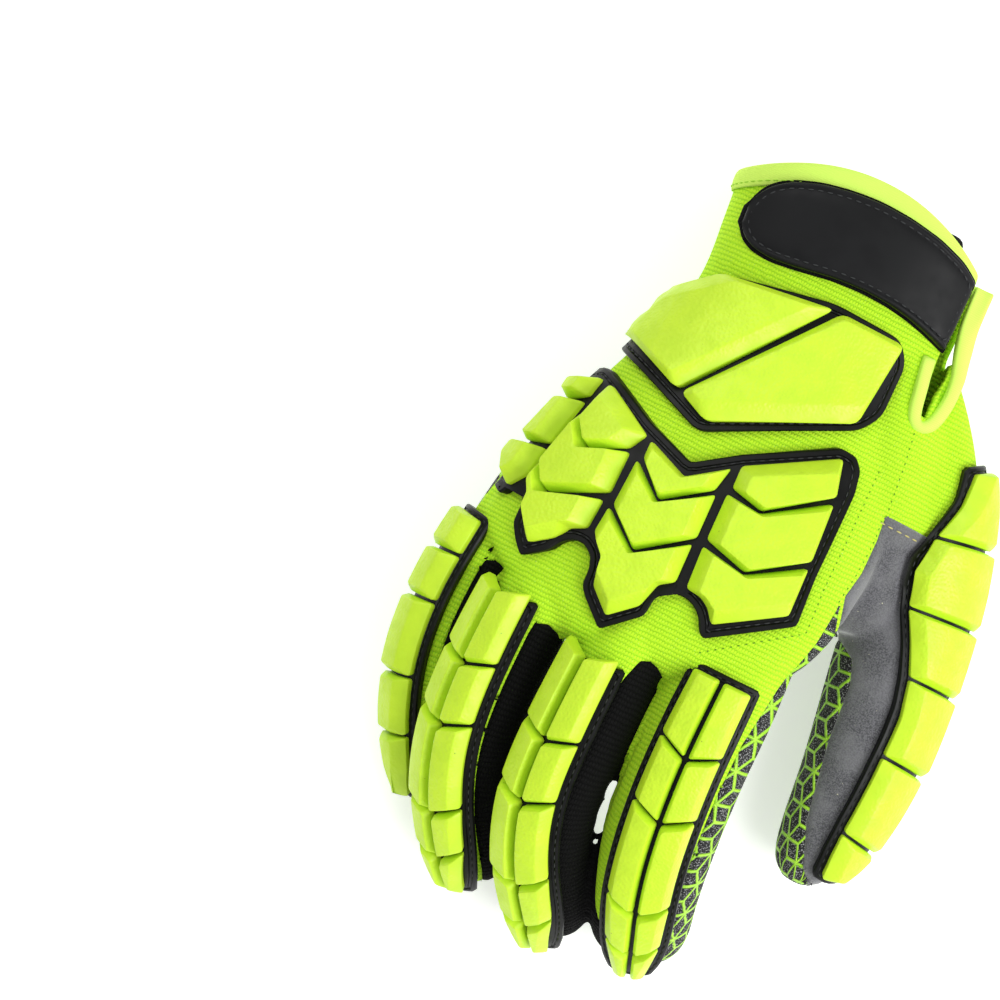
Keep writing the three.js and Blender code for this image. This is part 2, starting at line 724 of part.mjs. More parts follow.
// Knuckle plate: lines in plan across the hand, behind and in front, with arches between fingers
const knuckleEdges = [
  { backX: -0.204, backY: -0.325, frontX: -0.218, frontY: 0.024 },
  { backX: -0.18, backY: -0.374, frontX: -0.136, frontY: 0.069 },
  { backX: -0.116, backY: -0.384, frontX: -0.039, frontY: 0.118 },
  { backX: -0.019, backY: -0.333, frontX: 0.015, frontY: 0.137 },
  { backX: 0.078, backY: -0.284, frontX: 0.09, frontY: 0.142 },
  { backX: 0.155, backY: -0.243, frontX: 0.165, frontY: 0.171 },
  { backX: 0.232, backY: -0.203, frontX: 0.248, frontY: 0.224 },
  { backX: 0.301, backY: -0.228, frontX: 0.345, frontY: 0.163 },
  { backX: 0.388, backY: -0.26, frontX: 0.4, frontY: 0.138 },
  { backX: 0.466, backY: -0.289, frontX: 0.451, frontY: 0.098 },
  { backX: 0.539, backY: -0.315, frontX: 0.531, frontY: 0.157 },
  { backX: 0.573, backY: -0.309, frontX: 0.592, frontY: 0.102 },
  { backX: 0.612, backY: -0.276, frontX: 0.626, frontY: 0.073 },
  { backX: 0.641, backY: -0.22, frontX: 0.66, frontY: 0.053 },
  { backX: 0.675, backY: -0.13, frontX: 0.694, frontY: -0.01 },
];
const arches = [
  { x: 0.09, y: 0.163, radius: 0.086 },
  { x: 0.4, y: 0.15, radius: 0.08 },
  { x: 0.625, y: 0.075, radius: 0.058 },
];
const archCuts = (extra) => arches.map((arch) => {
  const cylinder = new THREE.CylinderGeometry(
    shareX(arch.radius) + extra, shareX(arch.radius) + extra, 2 * reach, archSides);
  cylinder.rotateX(Math.PI / 2);
  cylinder.translate(shareX(arch.x), shareY(arch.y), 0);
  return fromGeometry(cylinder);
});
const allExcept = (solid, cutters) => cutters.reduce((left, cutter) => left.subtract(cutter), solid);
const freeOf = handSolid(clearance, 0, outerFacets);
const onCloth = (solid) => solid.subtract(freeOf);
const backLine = knuckleEdges.map((row) => asPoints(row, ["backX", "backY"])[0]);
const frontLine = knuckleEdges.map((row) => asPoints(row, ["frontX", "frontY"])[0]);
const knucklePlate = palmCover([backLine, frontLine], stops(knuckleEdges.length, 0), stops(5, 0),
  plateBottom, plateTop, 0);
piece("knuckle_plate", onCloth(allExcept(knucklePlate, archCuts(0))), black, 0.5);

// Knuckle blocks: four columns, each with the plan x of its thumb side, crest and little-finger side
// at the first and last line, and for each of its four lines the plan y of those three places
const knuckleColumns = [
  {
    thumb: [-0.165, -0.19], crest: [0.022, -0.007], pinky: [0.111, 0.102],
    lines: [[-0.365, -0.285, -0.25], [-0.272, -0.165, -0.18], [-0.112, -0.028, -0.055], [0.01, 0.105, 0.06]],
  },
  {
    thumb: [0.13, 0.122], crest: [0.255, 0.265], pinky: [0.368, 0.395],
    lines: [[-0.236, -0.173, -0.21], [-0.168, -0.09, -0.162], [-0.045, 0.036, -0.036], [0.055, 0.196, 0.04]],
  },
  {
    thumb: [0.385, 0.41], crest: [0.465, 0.51], pinky: [0.54, 0.615],
    lines: [[-0.216, -0.25, -0.285], [-0.168, -0.125, -0.205], [-0.05, 0.004, -0.07], [0.035, 0.125, -0.015]],
  },
  {
    thumb: [0.563, 0.622], crest: [0.595, 0.65], pinky: [0.625, 0.69],
    lines: [[-0.3, -0.29, -0.27], [-0.226, -0.215, -0.207], [-0.098, -0.088, -0.08], [-0.018, 0.015, 0.03]],
  },
];
const linesPerColumn = 4;
const blockEdge = 0.16;
let knuckleCount = 0;
for (const column of knuckleColumns) {
  const lineAt = (i, shift) => ["thumb", "crest", "pinky"].map((side, place) => {
    const [first, last] = column[side];
    const inset = (1 - place) * (blockGap / 2);
    const x = shareX(mixed(first, last, i / (linesPerColumn - 1))) + inset;
    return [x, shareY(column.lines[i][place]) + shift];
  });
  for (let i = 0; i + 1 < linesPerColumn; i += 1) {
    knuckleCount += 1;
    const lines = [lineAt(i, blockGap / 2), lineAt(i + 1, -blockGap / 2)];
    const block = palmCover(lines, stops(3, blockEdge), stops(2, blockEdge), blockBottom, blockTop,
      blockChamfer);
    const name = `knuckle_block_${knuckleCount}`;
    piece(name, allExcept(block, archCuts(plateRim)), limeRubber, 0.55);
  }
}

// Wrist plate and its two blocks, as lines in plan from the wrist towards the knuckles
const wristEdges = [
  { backX: -0.175, backY: -0.634, frontX: -0.16, frontY: -0.455 },
  { backX: -0.146, backY: -0.663, frontX: -0.141, frontY: -0.437 },
  { backX: -0.039, backY: -0.665, frontX: 0.0, frontY: -0.378 },
  { backX: 0.068, backY: -0.667, frontX: 0.136, frontY: -0.321 },
  { backX: 0.175, backY: -0.65, frontX: 0.254, frontY: -0.272 },
  { backX: 0.291, backY: -0.633, frontX: 0.369, frontY: -0.309 },
  { backX: 0.377, backY: -0.62, frontX: 0.485, frontY: -0.351 },
  { backX: 0.437, backY: -0.553, frontX: 0.538, frontY: -0.368 },
  { backX: 0.505, backY: -0.472, frontX: 0.558, frontY: -0.398 },
];
const wristBack = wristEdges.map((row) => asPoints(row, ["backX", "backY"])[0]);
const wristFront = wristEdges.map((row) => asPoints(row, ["frontX", "frontY"])[0]);
const wristPlate = palmCover([wristBack, wristFront], stops(wristEdges.length, 0), stops(5, 0),
  plateBottom, plateTop, 0);
piece("wrist_plate", onCloth(wristPlate), black, 0.5);

const wristBlocks = [
  [
    { left: -0.136, leftY: -0.658, mid: -0.05, midY: -0.658, right: 0.036, rightY: -0.658 },
    { left: -0.148, leftY: -0.58, mid: 0.0, midY: -0.57, right: 0.145, rightY: -0.555 },
    { left: -0.128, leftY: -0.475, mid: 0.07, midY: -0.44, right: 0.25, rightY: -0.44 },
    { left: -0.115, leftY: -0.45, mid: 0.13, midY: -0.36, right: 0.335, rightY: -0.35 },
  ],
  [
    { left: 0.06, leftY: -0.652, mid: 0.21, midY: -0.636, right: 0.36, rightY: -0.618 },
    { left: 0.168, leftY: -0.555, mid: 0.32, midY: -0.55, right: 0.462, rightY: -0.555 },
    { left: 0.273, leftY: -0.44, mid: 0.41, midY: -0.44, right: 0.535, rightY: -0.47 },
    { left: 0.355, leftY: -0.345, mid: 0.45, midY: -0.36, right: 0.545, rightY: -0.4 },
  ],
];
const wristBlockEdge = 0.08;
const offPlates = (block) => block.subtract(wristPlate.translate(0, 0, clearance));
wristBlocks.forEach((rows, i) => {
  const lines = rows.map((row) => asPoints(row, ["left", "leftY"], ["mid", "midY"], ["right", "rightY"]));
  const block = palmCover(lines, stops(5, wristBlockEdge), stops(4, wristBlockEdge), blockBottom,
    blockTop, blockChamfer);
  piece(`wrist_block_${i + 1}`, offPlates(block), limeRubber, 0.55);
});

// Strips of rubber along the fingers and the thumb, with a row of blocks on each
const plateSteps = 9;
for (const [name, guard] of Object.entries(guards)) {
  const shares = stops(plateSteps, 0);
  const plate = limbCover(name, shares, stops(5, 0), 0, plateBottom, plateTop, 0, 0);
  piece(`${name}_plate`, plate, black, 0.5);
  const single = name === "pinky" || name === "thumb";
  const groove = single ? 0 : blockHeight * 0.6;
  const gapShare = blockGap / 2 / ((guard.to - guard.from) * limbs[name].length);
  for (let i = 0; i + 1 < guard.rows.length; i += 1) {
    const start = guard.rows[i] + gapShare * (i === 0 ? 3 : 1);
    const end = guard.rows[i + 1] - gapShare * (i + 2 === guard.rows.length ? 3 : 1);
    const rows = stops(3, blockEdge).map((share) => mixed(start, end, share));
    const block = limbCover(name, rows, stops(3, blockEdge), plateRim / 2, blockBottom, blockTop,
      blockChamfer, groove);
    piece(`${name}_block_${i + 1}`, block, limeRubber, 0.55);
  }
}

// Piping folded over the edges of the slit: down its thumb side, round its end and up to the strap
const slitAround = palmSpot(slitX, slitEndY, 0).around;
const pipingOffset = pipingWidth / 2 + slitWidth / 2 - clearance;
function palmAround(along, around, distance) {
  const step = Math.sign(distance) * aroundStep;
  let left = Math.abs(distance);
  let turned = around;
  let from = palmForm(along, turned);
  let stride = from.distanceTo(palmForm(along, turned + step));
  while (left > stride) {
    left -= stride;
    turned += step;
    from = palmForm(along, turned);
    stride = from.distanceTo(palmForm(along, turned + step));
  }
  return turned + step * (left / stride);
}
const slitEnd = slitLength / palmLength;
const strapTop = 0.205; // share of palmLength where the strap's edge nearer the hand lies
const pipingRoute = [];
const turnSteps = 6;
pipingRoute.push({ along: strapTop + 0.02, distance: pipingOffset });
for (let i = 0; i <= turnSteps; i += 1) {
  const angle = Math.PI * (i / turnSteps);
  pipingRoute.push({
    along: slitEnd + (Math.sin(angle) * pipingOffset) / palmLength,
    distance: Math.cos(angle) * pipingOffset,
  });
}
for (const share of [0.25, 0.14, 0.06]) pipingRoute.push({ along: share, distance: -pipingOffset });
const pipingSpots = pipingRoute.map((spot, i) => {
  const before = pipingRoute[Math.max(i - 1, 0)];
  const after = pipingRoute[Math.min(i + 1, pipingRoute.length - 1)];
  const forward = new THREE.Vector2(
    after.distance - before.distance, (after.along - before.along) * palmLength).normalize();
  return [-1, 0, 1].map((side) => {
    const along = spot.along + (side * -forward.x * pipingWidth) / 2 / palmLength;
    const distance = spot.distance + (side * forward.y * pipingWidth) / 2;
    return { along, around: palmAround(along, slitAround, distance || 0.01) };
  });
});
const onPalm = (spot, h) => palmForm(spot.along, spot.around, h);
const pipingTop = plateBottom + bindingThickness + pipingThickness;
const piping = cover(pipingSpots, onPalm, plateBottom + bindingThickness, pipingTop, pipingThickness / 2);
piece("slit_binding", onCloth(piping), paleLime, 0.8);

// Wrist strap across the back of the cuff, from a round end at the little-finger side to the slit
const strapMiddle = 0.122;
const strapSteps = 9;
const strapRound = 0.14; // share of the strap that its round end takes
const bluntEnd = 0.06; // keeps the first points of the round end apart
const strapStart = 0.41; // plan x of the round end, as a share of palmWidth
const strapShares = [0, 0.03, 0.08, strapRound, ...stops(strapSteps - 3, 0).slice(1)
  .map((share) => mixed(strapRound, 1, share))];
const strapSpots = strapShares.map((share) => {
  const x = shareX(strapStart) - share * strapLength;
  const middle = bisect((around) => palmForm(strapMiddle, around).x - x, -steepest, steepest);
  const { y } = palmForm(strapMiddle, middle);
  const round = Math.min(share / strapRound, 1);
  const half = (strapWidth / 2) * Math.sqrt(Math.max(1 - (1 - round) ** 2, bluntEnd));
  return [-1, -0.5, 0, 0.5, 1].map((side) => palmSpot(x, y + side * half, 0));
});
const strapBottom = plateBottom + bindingThickness;
const strap = cover(strapSpots, onPalm, strapBottom, strapBottom + strapThickness, strapThickness / 3);
piece("wrist_strap", strap, black, 0.6);

// Pull tab under the palm side of the cuff, with a slot near its free end
const tabX = shareX(-0.126);
const tabEndY = cuffY - shareX(0.126);
const tabEndWidth = 0.74 * tabWidth;
const tabShape = new THREE.Shape();
const tabCorner = 3;
tabShape.moveTo(-tabEndWidth / 2, tabCorner);
tabShape.absarc(-tabEndWidth / 2 + tabCorner, tabCorner, tabCorner, Math.PI, 1.5 * Math.PI);
tabShape.absarc(tabEndWidth / 2 - tabCorner, tabCorner, tabCorner, 1.5 * Math.PI, 2 * Math.PI);
tabShape.lineTo(tabWidth / 2, tabLength);
tabShape.lineTo(-tabWidth / 2, tabLength);
const slot = new THREE.Path();
slot.moveTo(-tabSlotWidth / 2, tabCorner + 1);
slot.lineTo(tabSlotWidth / 2, tabCorner + 1);
slot.lineTo(tabSlotWidth / 2, tabCorner + 1 + tabSlotLength);
slot.lineTo(-tabSlotWidth / 2, tabCorner + 1 + tabSlotLength);
tabShape.holes.push(slot);
const tabGeometry = new THREE.ExtrudeGeometry(tabShape, {
  depth: tabThickness, bevelEnabled: false, curveSegments: 5,
});
tabGeometry.translate(tabX, tabEndY, 0);
piece("pull_tab", fromGeometry(tabGeometry), black, 0.6);

// The origin lies on the table below the middle of the glove
const extent = new THREE.Box3().setFromObject(group);
const middleOf = extent.getCenter(new THREE.Vector3());
group.position.set(-middleOf.x, -middleOf.y, 0);

export default group;
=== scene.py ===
# The looks of the impact glove. Points are worked out in millimetres in the glove's own frame and
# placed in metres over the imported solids.
import math

import bmesh
import bpy
import numpy as np
from mathutils import Matrix, Vector
from mathutils.bvhtree import BVHTree
from mathutils.kdtree import KDTree


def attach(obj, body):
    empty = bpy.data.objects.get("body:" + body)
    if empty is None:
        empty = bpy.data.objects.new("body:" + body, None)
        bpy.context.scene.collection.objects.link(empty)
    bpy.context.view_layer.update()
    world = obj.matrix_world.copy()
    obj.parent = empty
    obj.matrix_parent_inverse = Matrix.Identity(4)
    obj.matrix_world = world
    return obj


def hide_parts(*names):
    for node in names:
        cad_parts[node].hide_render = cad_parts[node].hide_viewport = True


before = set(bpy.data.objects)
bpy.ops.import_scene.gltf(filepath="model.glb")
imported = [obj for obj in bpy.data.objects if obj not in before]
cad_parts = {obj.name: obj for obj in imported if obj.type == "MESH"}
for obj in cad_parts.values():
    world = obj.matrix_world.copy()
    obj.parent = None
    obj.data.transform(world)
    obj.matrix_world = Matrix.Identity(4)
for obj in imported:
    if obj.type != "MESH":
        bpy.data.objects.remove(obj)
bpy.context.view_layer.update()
scene = bpy.context.scene
middle = np.array([1.614, 0.8206, 0.0])  # the solids lie with this point of the glove's frame at 0

# Camera straight above, turned so that the fingers point down to the left
cameraPlace = {"x": 64.4, "y": 6.9, "height": 1197.0, "lens": 150.0}
cameraData = bpy.data.cameras.new("camera")
cameraData.lens = cameraPlace["lens"]
cameraData.sensor_width = 36
cameraData.clip_start = 0.01
cameraData.clip_end = 20
camera = bpy.data.objects.new("camera", cameraData)
scene.collection.objects.link(camera)
right, up = Vector((-0.8944, -0.4472, 0)), Vector((0.4472, -0.8944, 0))
spot = Vector((cameraPlace["x"], cameraPlace["y"], cameraPlace["height"])) / 1000
camera.matrix_world = Matrix.Translation(spot) @ Matrix((right, up, (0, 0, 1))).transposed().to_4x4()
scene.camera = camera
print("camera placed")

# Sizes of the hand, in millimetres
hand = {
    "palmLength": 123.0, "palmWidth": 103.0, "palmHeight": 42.0, "squareness": 2.5,
    "wall": 1.6, "voxel": 1.05, "fingerSlack": -0.35, "tableGap": 2.3,
}
length, width, height = hand["palmLength"], hand["palmWidth"], hand["palmHeight"]
cuffY = -0.858 * length
heelY = cuffY + 0.32 * length

palmRows = {
    "along": [0.0, 0.085, 0.27, 0.45, 0.655, 0.858, 0.94, 0.98, 1.0],
    "bow": [-0.126, -0.1, -0.03, 0.0, 0.03, 0.08, 0.136, 0.165, 0.175],
    "pinky": [0.456, 0.442, 0.427, 0.49, 0.583, 0.646, 0.675, 0.67, 0.641],
    "thumb": [-0.282, -0.282, -0.291, -0.33, -0.35, -0.33, -0.301, -0.272, -0.233],
    "middle": [0.515, 0.515, 0.52, 0.535, 0.79, 0.95, 0.98, 0.97, 0.96],
    "half": [0.465, 0.47, 0.48, 0.54, 0.455, 0.37, 0.33, 0.25, 0.13],
    "roll": [0, 0, 0, 3, 7, 11, 13, 13.5, 13.5],
}
fingerRows = {
    "along": [0.0, 0.3, 0.58, 0.8, 0.91, 0.965, 1.0],
    "width": [0.86, 1.0, 1.0, 0.93, 0.86, 0.68, 0.3],
    "thickness": [0.88, 1.0, 0.98, 0.92, 0.84, 0.64, 0.26],
}
ballRows = {
    "along": [0.0, 0.3, 0.6, 0.85, 0.95, 1.0],
    "width": [0.5, 0.9, 1.0, 0.8, 0.55, 0.24],
    "thickness": [1.0, 1.22, 1.16, 0.9, 0.66, 0.3],
}
thumbRows = {
    "along": [0.0, 0.2, 0.35, 0.5, 0.68, 0.85, 0.94, 0.98, 1.0],
    "width": [0.4, 0.6, 0.9, 1.03, 0.98, 0.78, 0.62, 0.46, 0.24],
    "thickness": [0.9, 1.06, 1.06, 1.06, 1.0, 0.84, 0.66, 0.48, 0.24],
}
limbs = {
    "index": {
        "length": 119, "width": 33, "thickness": 26.0, "rows": fingerRows,
        "start": (-0.122, 0.0, 1.08), "roll": 8,
        "bends": {"along": [0, 0.3, 0.5, 0.66, 0.8, 1], "turn": [0, 1, 6, 12, 19, 22],
                  "dip": [-4, 5, 15, 28, 42, 52]},
    },
    "middle": {
        "length": 123, "width": 27, "thickness": 24.0, "rows": fingerRows,
        "start": (0.163, 0.03, 1.05), "roll": 35,
        "bends": {"along": [0, 0.3, 0.5, 0.64, 0.8, 1], "turn": [0, 0, 4, 18, 32, 38],
                  "dip": [-4, 5, 16, 28, 42, 52]},
    },
    "ring": {
        "length": 115, "width": 26, "thickness": 23.0, "rows": fingerRows,
        "start": (0.428, 0.03, 0.86), "roll": 45,
        "bends": {"along": [0, 0.3, 0.5, 0.66, 0.82, 1], "turn": [0, 0, 6, 20, 32, 42],
                  "dip": [-3, 5, 14, 24, 34, 42]},
    },
    "pinky": {
        "length": 101, "width": 22.5, "thickness": 20.5, "rows": fingerRows,
        "start": (0.58, -0.02, 0.6), "roll": 60,
        "bends": {"along": [0, 0.3, 0.5, 0.66, 0.82, 1], "turn": [-6, -3, 6, 18, 30, 38],
                  "dip": [0, 6, 12, 17, 24, 30]},
    },
    "thumb": {
        "length": 158, "width": 34, "thickness": 30.0, "rows": thumbRows,
        "start": (-0.172, -0.66, 0.52), "roll": -45,
        "bends": {"along": [0, 0.15, 0.3, 0.45, 0.7, 0.85, 1], "turn": [42, 34, 20, 12, 6, -1, -3],
                  "dip": [3, 3, 3, 1, 2, 6, 12]},
    },
    "ball": {
        "length": 88, "width": 36, "thickness": 30.0, "rows": ballRows,
        "start": (-0.1, -0.69, 0.54), "roll": -25,
        "bends": {"along": [0, 0.5, 1], "turn": [30, 18, 8], "dip": [0, -4, -6]},
    },
}


def sample(rows, column, along):
    # smooth value of one column at shares of the length
    along = np.asarray(along, float)
    knots, values = np.array(rows["along"], float), np.array(rows[column], float)
    i = np.searchsorted(knots[1:-1], along, side="left")
    j = i + 1
    before, after = np.maximum(i - 1, 0), np.minimum(j + 1, len(knots) - 1)
    span = knots[j] - knots[i]
    t = np.clip((along - knots[i]) / span, 0, 1)
    slopeA = (values[j] - values[before]) / (knots[j] - knots[before]) * span
    slopeB = (values[after] - values[i]) / (knots[after] - knots[i]) * span
    rise = values[j] - values[i]
    return (values[i] + t * slopeA + t * t * (3 * rise - 2 * slopeA - slopeB)
            + t ** 3 * (slopeA + slopeB - 2 * rise))


def palmForm(along, around, grow=0.0):
    # around is 0 degrees at the back of the hand and 90 at the little-finger side
    along, around = np.broadcast_arrays(np.asarray(along, float), np.asarray(around, float))
    sine, cosine = np.sin(np.radians(around)), np.cos(np.radians(around))
    power = 2 / hand["squareness"]
    side, rise = np.sign(sine) * np.abs(sine) ** power, np.sign(cosine) * np.abs(cosine) ** power
    pinky, thumb = (sample(palmRows, key, along) * width for key in ("pinky", "thumb"))
    roll = -np.radians(sample(palmRows, "roll", along))
    halfWidth = (pinky - thumb) / 2 + grow
    halfHeight = sample(palmRows, "half", along) * height + grow
    x = (pinky + thumb) / 2 + halfWidth * side * np.cos(roll) - halfHeight * rise * np.sin(roll)
    z = (sample(palmRows, "middle", along) * height + halfWidth * side * np.sin(roll)
         + halfHeight * rise * np.cos(roll))
    end = np.clip((along - 0.8) / 0.2, 0, 1) ** 2
    y = cuffY + along * length + sample(palmRows, "bow", along) * width * (1 - side ** 2) + grow * end
    return np.stack([x, y, z], axis=-1)


spineSteps = 60
for limb in limbs.values():
    centre = np.array(limb["start"]) * (width, length, height)
    rows = []
    for i in range(spineSteps + 1):
        turn, dip = (math.radians(sample(limb["bends"], key, i / spineSteps)) for key in ("turn", "dip"))
        forward = np.array([-math.sin(turn) * math.cos(dip), math.cos(turn) * math.cos(dip), -math.sin(dip)])
        level = np.cross(forward, (0, 0, 1))
        level /= np.linalg.norm(level)
        upward = np.cross(level, forward)
        roll = math.radians(limb["roll"])
        side = level * math.cos(roll) - upward * math.sin(roll)
        back = upward * math.cos(roll) + level * math.sin(roll)
        rows.append([centre.copy(), forward, side, back])
        centre += forward * limb["length"] / spineSteps
    limb["spine"] = np.array(rows)


def spineAt(limb, along):
    placeOn = np.clip(np.asarray(along, float), 0, 1) * spineSteps
    i = np.minimum(placeOn.astype(int), spineSteps - 1)
    mix = (placeOn - i)[..., None, None]
    found = limb["spine"][i] * (1 - mix) + limb["spine"][i + 1] * mix
    found[..., 1:, :] /= np.linalg.norm(found[..., 1:, :], axis=-1, keepdims=True)
    return [found[..., k, :] for k in range(4)]


def limbForm(limb, along, around, grow=0.0):
    along, around = np.broadcast_arrays(np.asarray(along, float), np.asarray(around, float))
    centre, forward, side, back = spineAt(limb, along)
    halfWidth = (sample(limb["rows"], "width", along) * limb["width"] / 2)[..., None]
    halfThickness = (sample(limb["rows"], "thickness", along) * limb["thickness"] / 2)[..., None]
    sine, cosine = np.sin(np.radians(around))[..., None], np.cos(np.radians(around))[..., None]
    outward = side * sine / halfWidth + back * cosine / halfThickness
    outward /= np.linalg.norm(outward, axis=-1, keepdims=True)
    grow = np.asarray(grow, float)
    grow = grow[..., None] if grow.ndim else grow
    end = np.clip((along - 0.8) / 0.2, 0, 1)[..., None] ** 2
    return (centre + side * halfWidth * sine + back * halfThickness * cosine + outward * grow
            + forward * grow * end)


# Meshes
def newMesh(name, points, faces, smooth=True):
    mesh = bpy.data.meshes.new(name)
    mesh.from_pydata((np.asarray(points) - middle) / 1000, [], faces)
    mesh.validate()
    mesh.shade_smooth() if smooth else None
    piece = bpy.data.objects.new(name, mesh)
    scene.collection.objects.link(piece)
    return piece


def ringFaces(rings, count, start=0):
    faces = []
    for i in range(rings - 1):
        for j in range(count):
            a, b = start + i * count + j, start + i * count + (j + 1) % count
            faces.append((a, b, b + count, a + count))
    faces.append([start + j for j in range(count)][::-1])
    faces.append([start + (rings - 1) * count + j for j in range(count)])
    return faces


def finished(piece, modifiers=True):
    # the piece's mesh with its modifiers applied
    graph = bpy.context.evaluated_depsgraph_get()
    mesh = bpy.data.meshes.new_from_object(piece.evaluated_get(graph))
    piece.modifiers.clear()
    old = piece.data
    piece.data = mesh
    bpy.data.meshes.remove(old)
    return piece


def cutAlong(points, triangles, values):
    # splits triangles where the values change sign
    values = np.where(np.abs(values) < 0.02, 0.02, values)
    inside = values < 0
    crossing = inside[triangles].any(1) & ~inside[triangles].all(1)
    points, fresh, made = list(points), [], {}

    def between(a, b):
        key = (min(a, b), max(a, b))
        if key not in made:
            share = values[a] / (values[a] - values[b])
            made[key] = len(points)
            points.append(points[a] + (points[b] - points[a]) * share)
        return made[key]

    for a, b, c in triangles[crossing]:
        while inside[a] == inside[b] or inside[a] == inside[c]:
            a, b, c = b, c, a
        ab, ca = between(a, b), between(c, a)
        fresh += [(a, ab, ca), (ab, b, c), (ab, c, ca)]
    kept = triangles[~crossing]
    return np.array(points), np.vstack([kept, np.array(fresh, int)]) if fresh else kept


def distanceTo(outline, points):
    # signed distance in plan to a closed outline, negative inside
    outline = np.asarray(outline, float)
    x, y = points[:, 0], points[:, 1]
    best = np.full(len(points), 1e9)
    inside = np.zeros(len(points), bool)
    for (ax, ay), (bx, by) in zip(outline, np.roll(outline, -1, axis=0)):
        dx, dy = bx - ax, by - ay
        t = np.clip(((x - ax) * dx + (y - ay) * dy) / (dx * dx + dy * dy + 1e-12), 0, 1)
        best = np.minimum(best, np.hypot(x - ax - t * dx, y - ay - t * dy))
        crosses = (ay > y) != (by > y)
        inside ^= crosses & (x < (bx - ax) * (y - ay) / (by - ay + 1e-12) + ax)
    return np.where(inside, -best, best)


# Shape of the whole hand as one smooth skin
rings, sides = 70, 120
points = palmForm(np.linspace(-0.07, 1, rings)[:, None], np.arange(sides)[None] * 360 / sides).reshape(-1, 3)
faces = ringFaces(rings, sides)
for name, limb in limbs.items():
    rings, sides = 70, 56
    along = 1 - (1 - np.linspace(0, 1, rings)) ** 1.6
    slack = hand["fingerSlack"] * np.clip((along - 0.25) * 8, 0, 1) if name not in ("thumb",
        "ball") else 0 * along
    form = limbForm(limb, along[:, None], np.arange(sides)[None] * 360 / sides,
        slack[:, None] + np.zeros((1, sides)))
    faces += ringFaces(rings, sides, len(points))
    points = np.vstack([points, form.reshape(-1, 3)])
skin = newMesh("skin", points, faces)
remesh = skin.modifiers.new("voxels", "REMESH")
remesh.mode = "VOXEL"
remesh.voxel_size = hand["voxel"] / 1000
smooth = skin.modifiers.new("smooth", "SMOOTH")
smooth.factor, smooth.iterations = 0.5, 8
finished(skin)
skin.data.calc_loop_triangles()
points = np.array([v.co for v in skin.data.vertices]) * 1000 + middle
triangles = np.array([t.vertices[:] for t in skin.data.loop_triangles])
print("skin", len(points), "points")

skinTree = BVHTree.FromPolygons([Vector(p) for p in points], triangles.tolist())


def onSkin(base, outward, rise):
    # point at a height over the cloth, looking inwards from outside
    found = []
    for p, n, h in zip(base.reshape(-1, 3), outward.reshape(-1, 3),
            np.broadcast_to(rise, base.shape[:-1]).ravel()):
        n = n / (np.linalg.norm(n) + 1e-9)
        hit = skinTree.ray_cast(Vector(p + n * 22), Vector(-n), 40)
        surface = np.array(hit[0]) if hit[0] is not None else p
        if (surface - p) @ n < 0:
            surface = p
        found.append(surface + n * h)
    return np.array(found).reshape(base.shape)


def overCloth(along, around, rise):
    base = palmForm(along, around)
    return onSkin(base, palmForm(along, around, 1.0) - base, rise)


# rests flat on the table, with the cuff lifted by the pull tab
table = hand["tableGap"] * np.clip((heelY - points[:, 1]) / 4, 0, 1)
points[:, 2] = np.where(points[:, 2] < table, table, points[:, 2])


# where each point lies on the hand: nearest limb or the palm, with a distance along and around
def clothPlace(points):
    best = np.full(len(points), 1e9)
    across, along = points[:, 0].copy(), points[:, 1].copy()
    reach = np.zeros(len(points))
    for name in ("index", "middle", "ring", "pinky", "thumb"):
        limb = limbs[name]
        spine = limb["spine"]
        gap = np.full(len(points), 1e9)
        nearest = np.zeros(len(points), int)
        for i in range(spineSteps + 1):
            far = np.linalg.norm(points - spine[i, 0], axis=1)
            closer = far < gap
            gap[closer], nearest[closer] = far[closer], i
        offset = points - spine[nearest, 0]
        forward, side, back = (spine[nearest, k] for k in (1, 2, 3))
        s = nearest / spineSteps + (offset * forward).sum(1) / limb["length"]
        u, w = (offset * side).sum(1), (offset * back).sum(1)
        angle = np.arctan2(u, w)
        radius = limb["width"] / 2
        lower = np.arctan2(u, -w)
        start, full = (0.3, 0.55) if name != "thumb" else (0.3, 0.55)
        weight = np.clip((s - start) / (full - start), 0, 1)
        onIt = (gap < best) & (s > (0.22 if name != "thumb" else 0.3)) & (gap < limb["width"] * 0.8)
        centreX = spine[nearest, 0][:, 0]
        rolled = -math.radians(limb["roll"])
        around = np.where(points[:, 2] < spine[nearest, 0][:, 2], lower + rolled, angle - rolled)
        u2 = centreX + radius * around
        v2 = limb["start"][1] * length + s * limb["length"]
        best = np.where(onIt, gap, best)
        across = np.where(onIt, points[:, 0] + (u2 - points[:, 0]) * weight, across)
        along = np.where(onIt, points[:, 1] + (v2 - points[:, 1]) * weight, along)
        reach = np.where(onIt, weight, reach)
    return across, along, reach


# Outlines of the cloth panels, in plan
patchOutline = np.array([
    (-0.309, -0.295), (-0.317, -0.236), (-0.316, -0.152), (-0.301, -0.09), (-0.33, -0.012), (-0.407, 0.031),
    (-0.432, 0.085), (-0.449, 0.22), (-0.496, 0.406), (-0.551, 0.508), (-0.602, 0.548), (-0.602, 0.65),
    (-1.0, 0.65), (-1.0, -0.295)]) * (width, length)
thumbInside = np.array([
    (-0.33, -0.295), (-0.33, -0.002), (-0.35, 0.04), (-0.372, 0.5), (-0.45, 0.65), (-1.0, 0.65),
    (-1.0, -0.295)]) * (width, length)
seams = {"drop": 2.5, "lowest": 3.0, "patchHeight": 0.215 * height, "pinch": 0.45, "pinchWidth": 1.6}
gussets = [("index", 1.0, "middle", -0.2, 0.3, (9.2, 29.0)),
    ("middle", 1.08, "ring", -0.13, 0.29, (38.6, 32.5)),
           ("ring", 1.05, "pinky", 0.02, 0.27, (59.4, 23.5))]


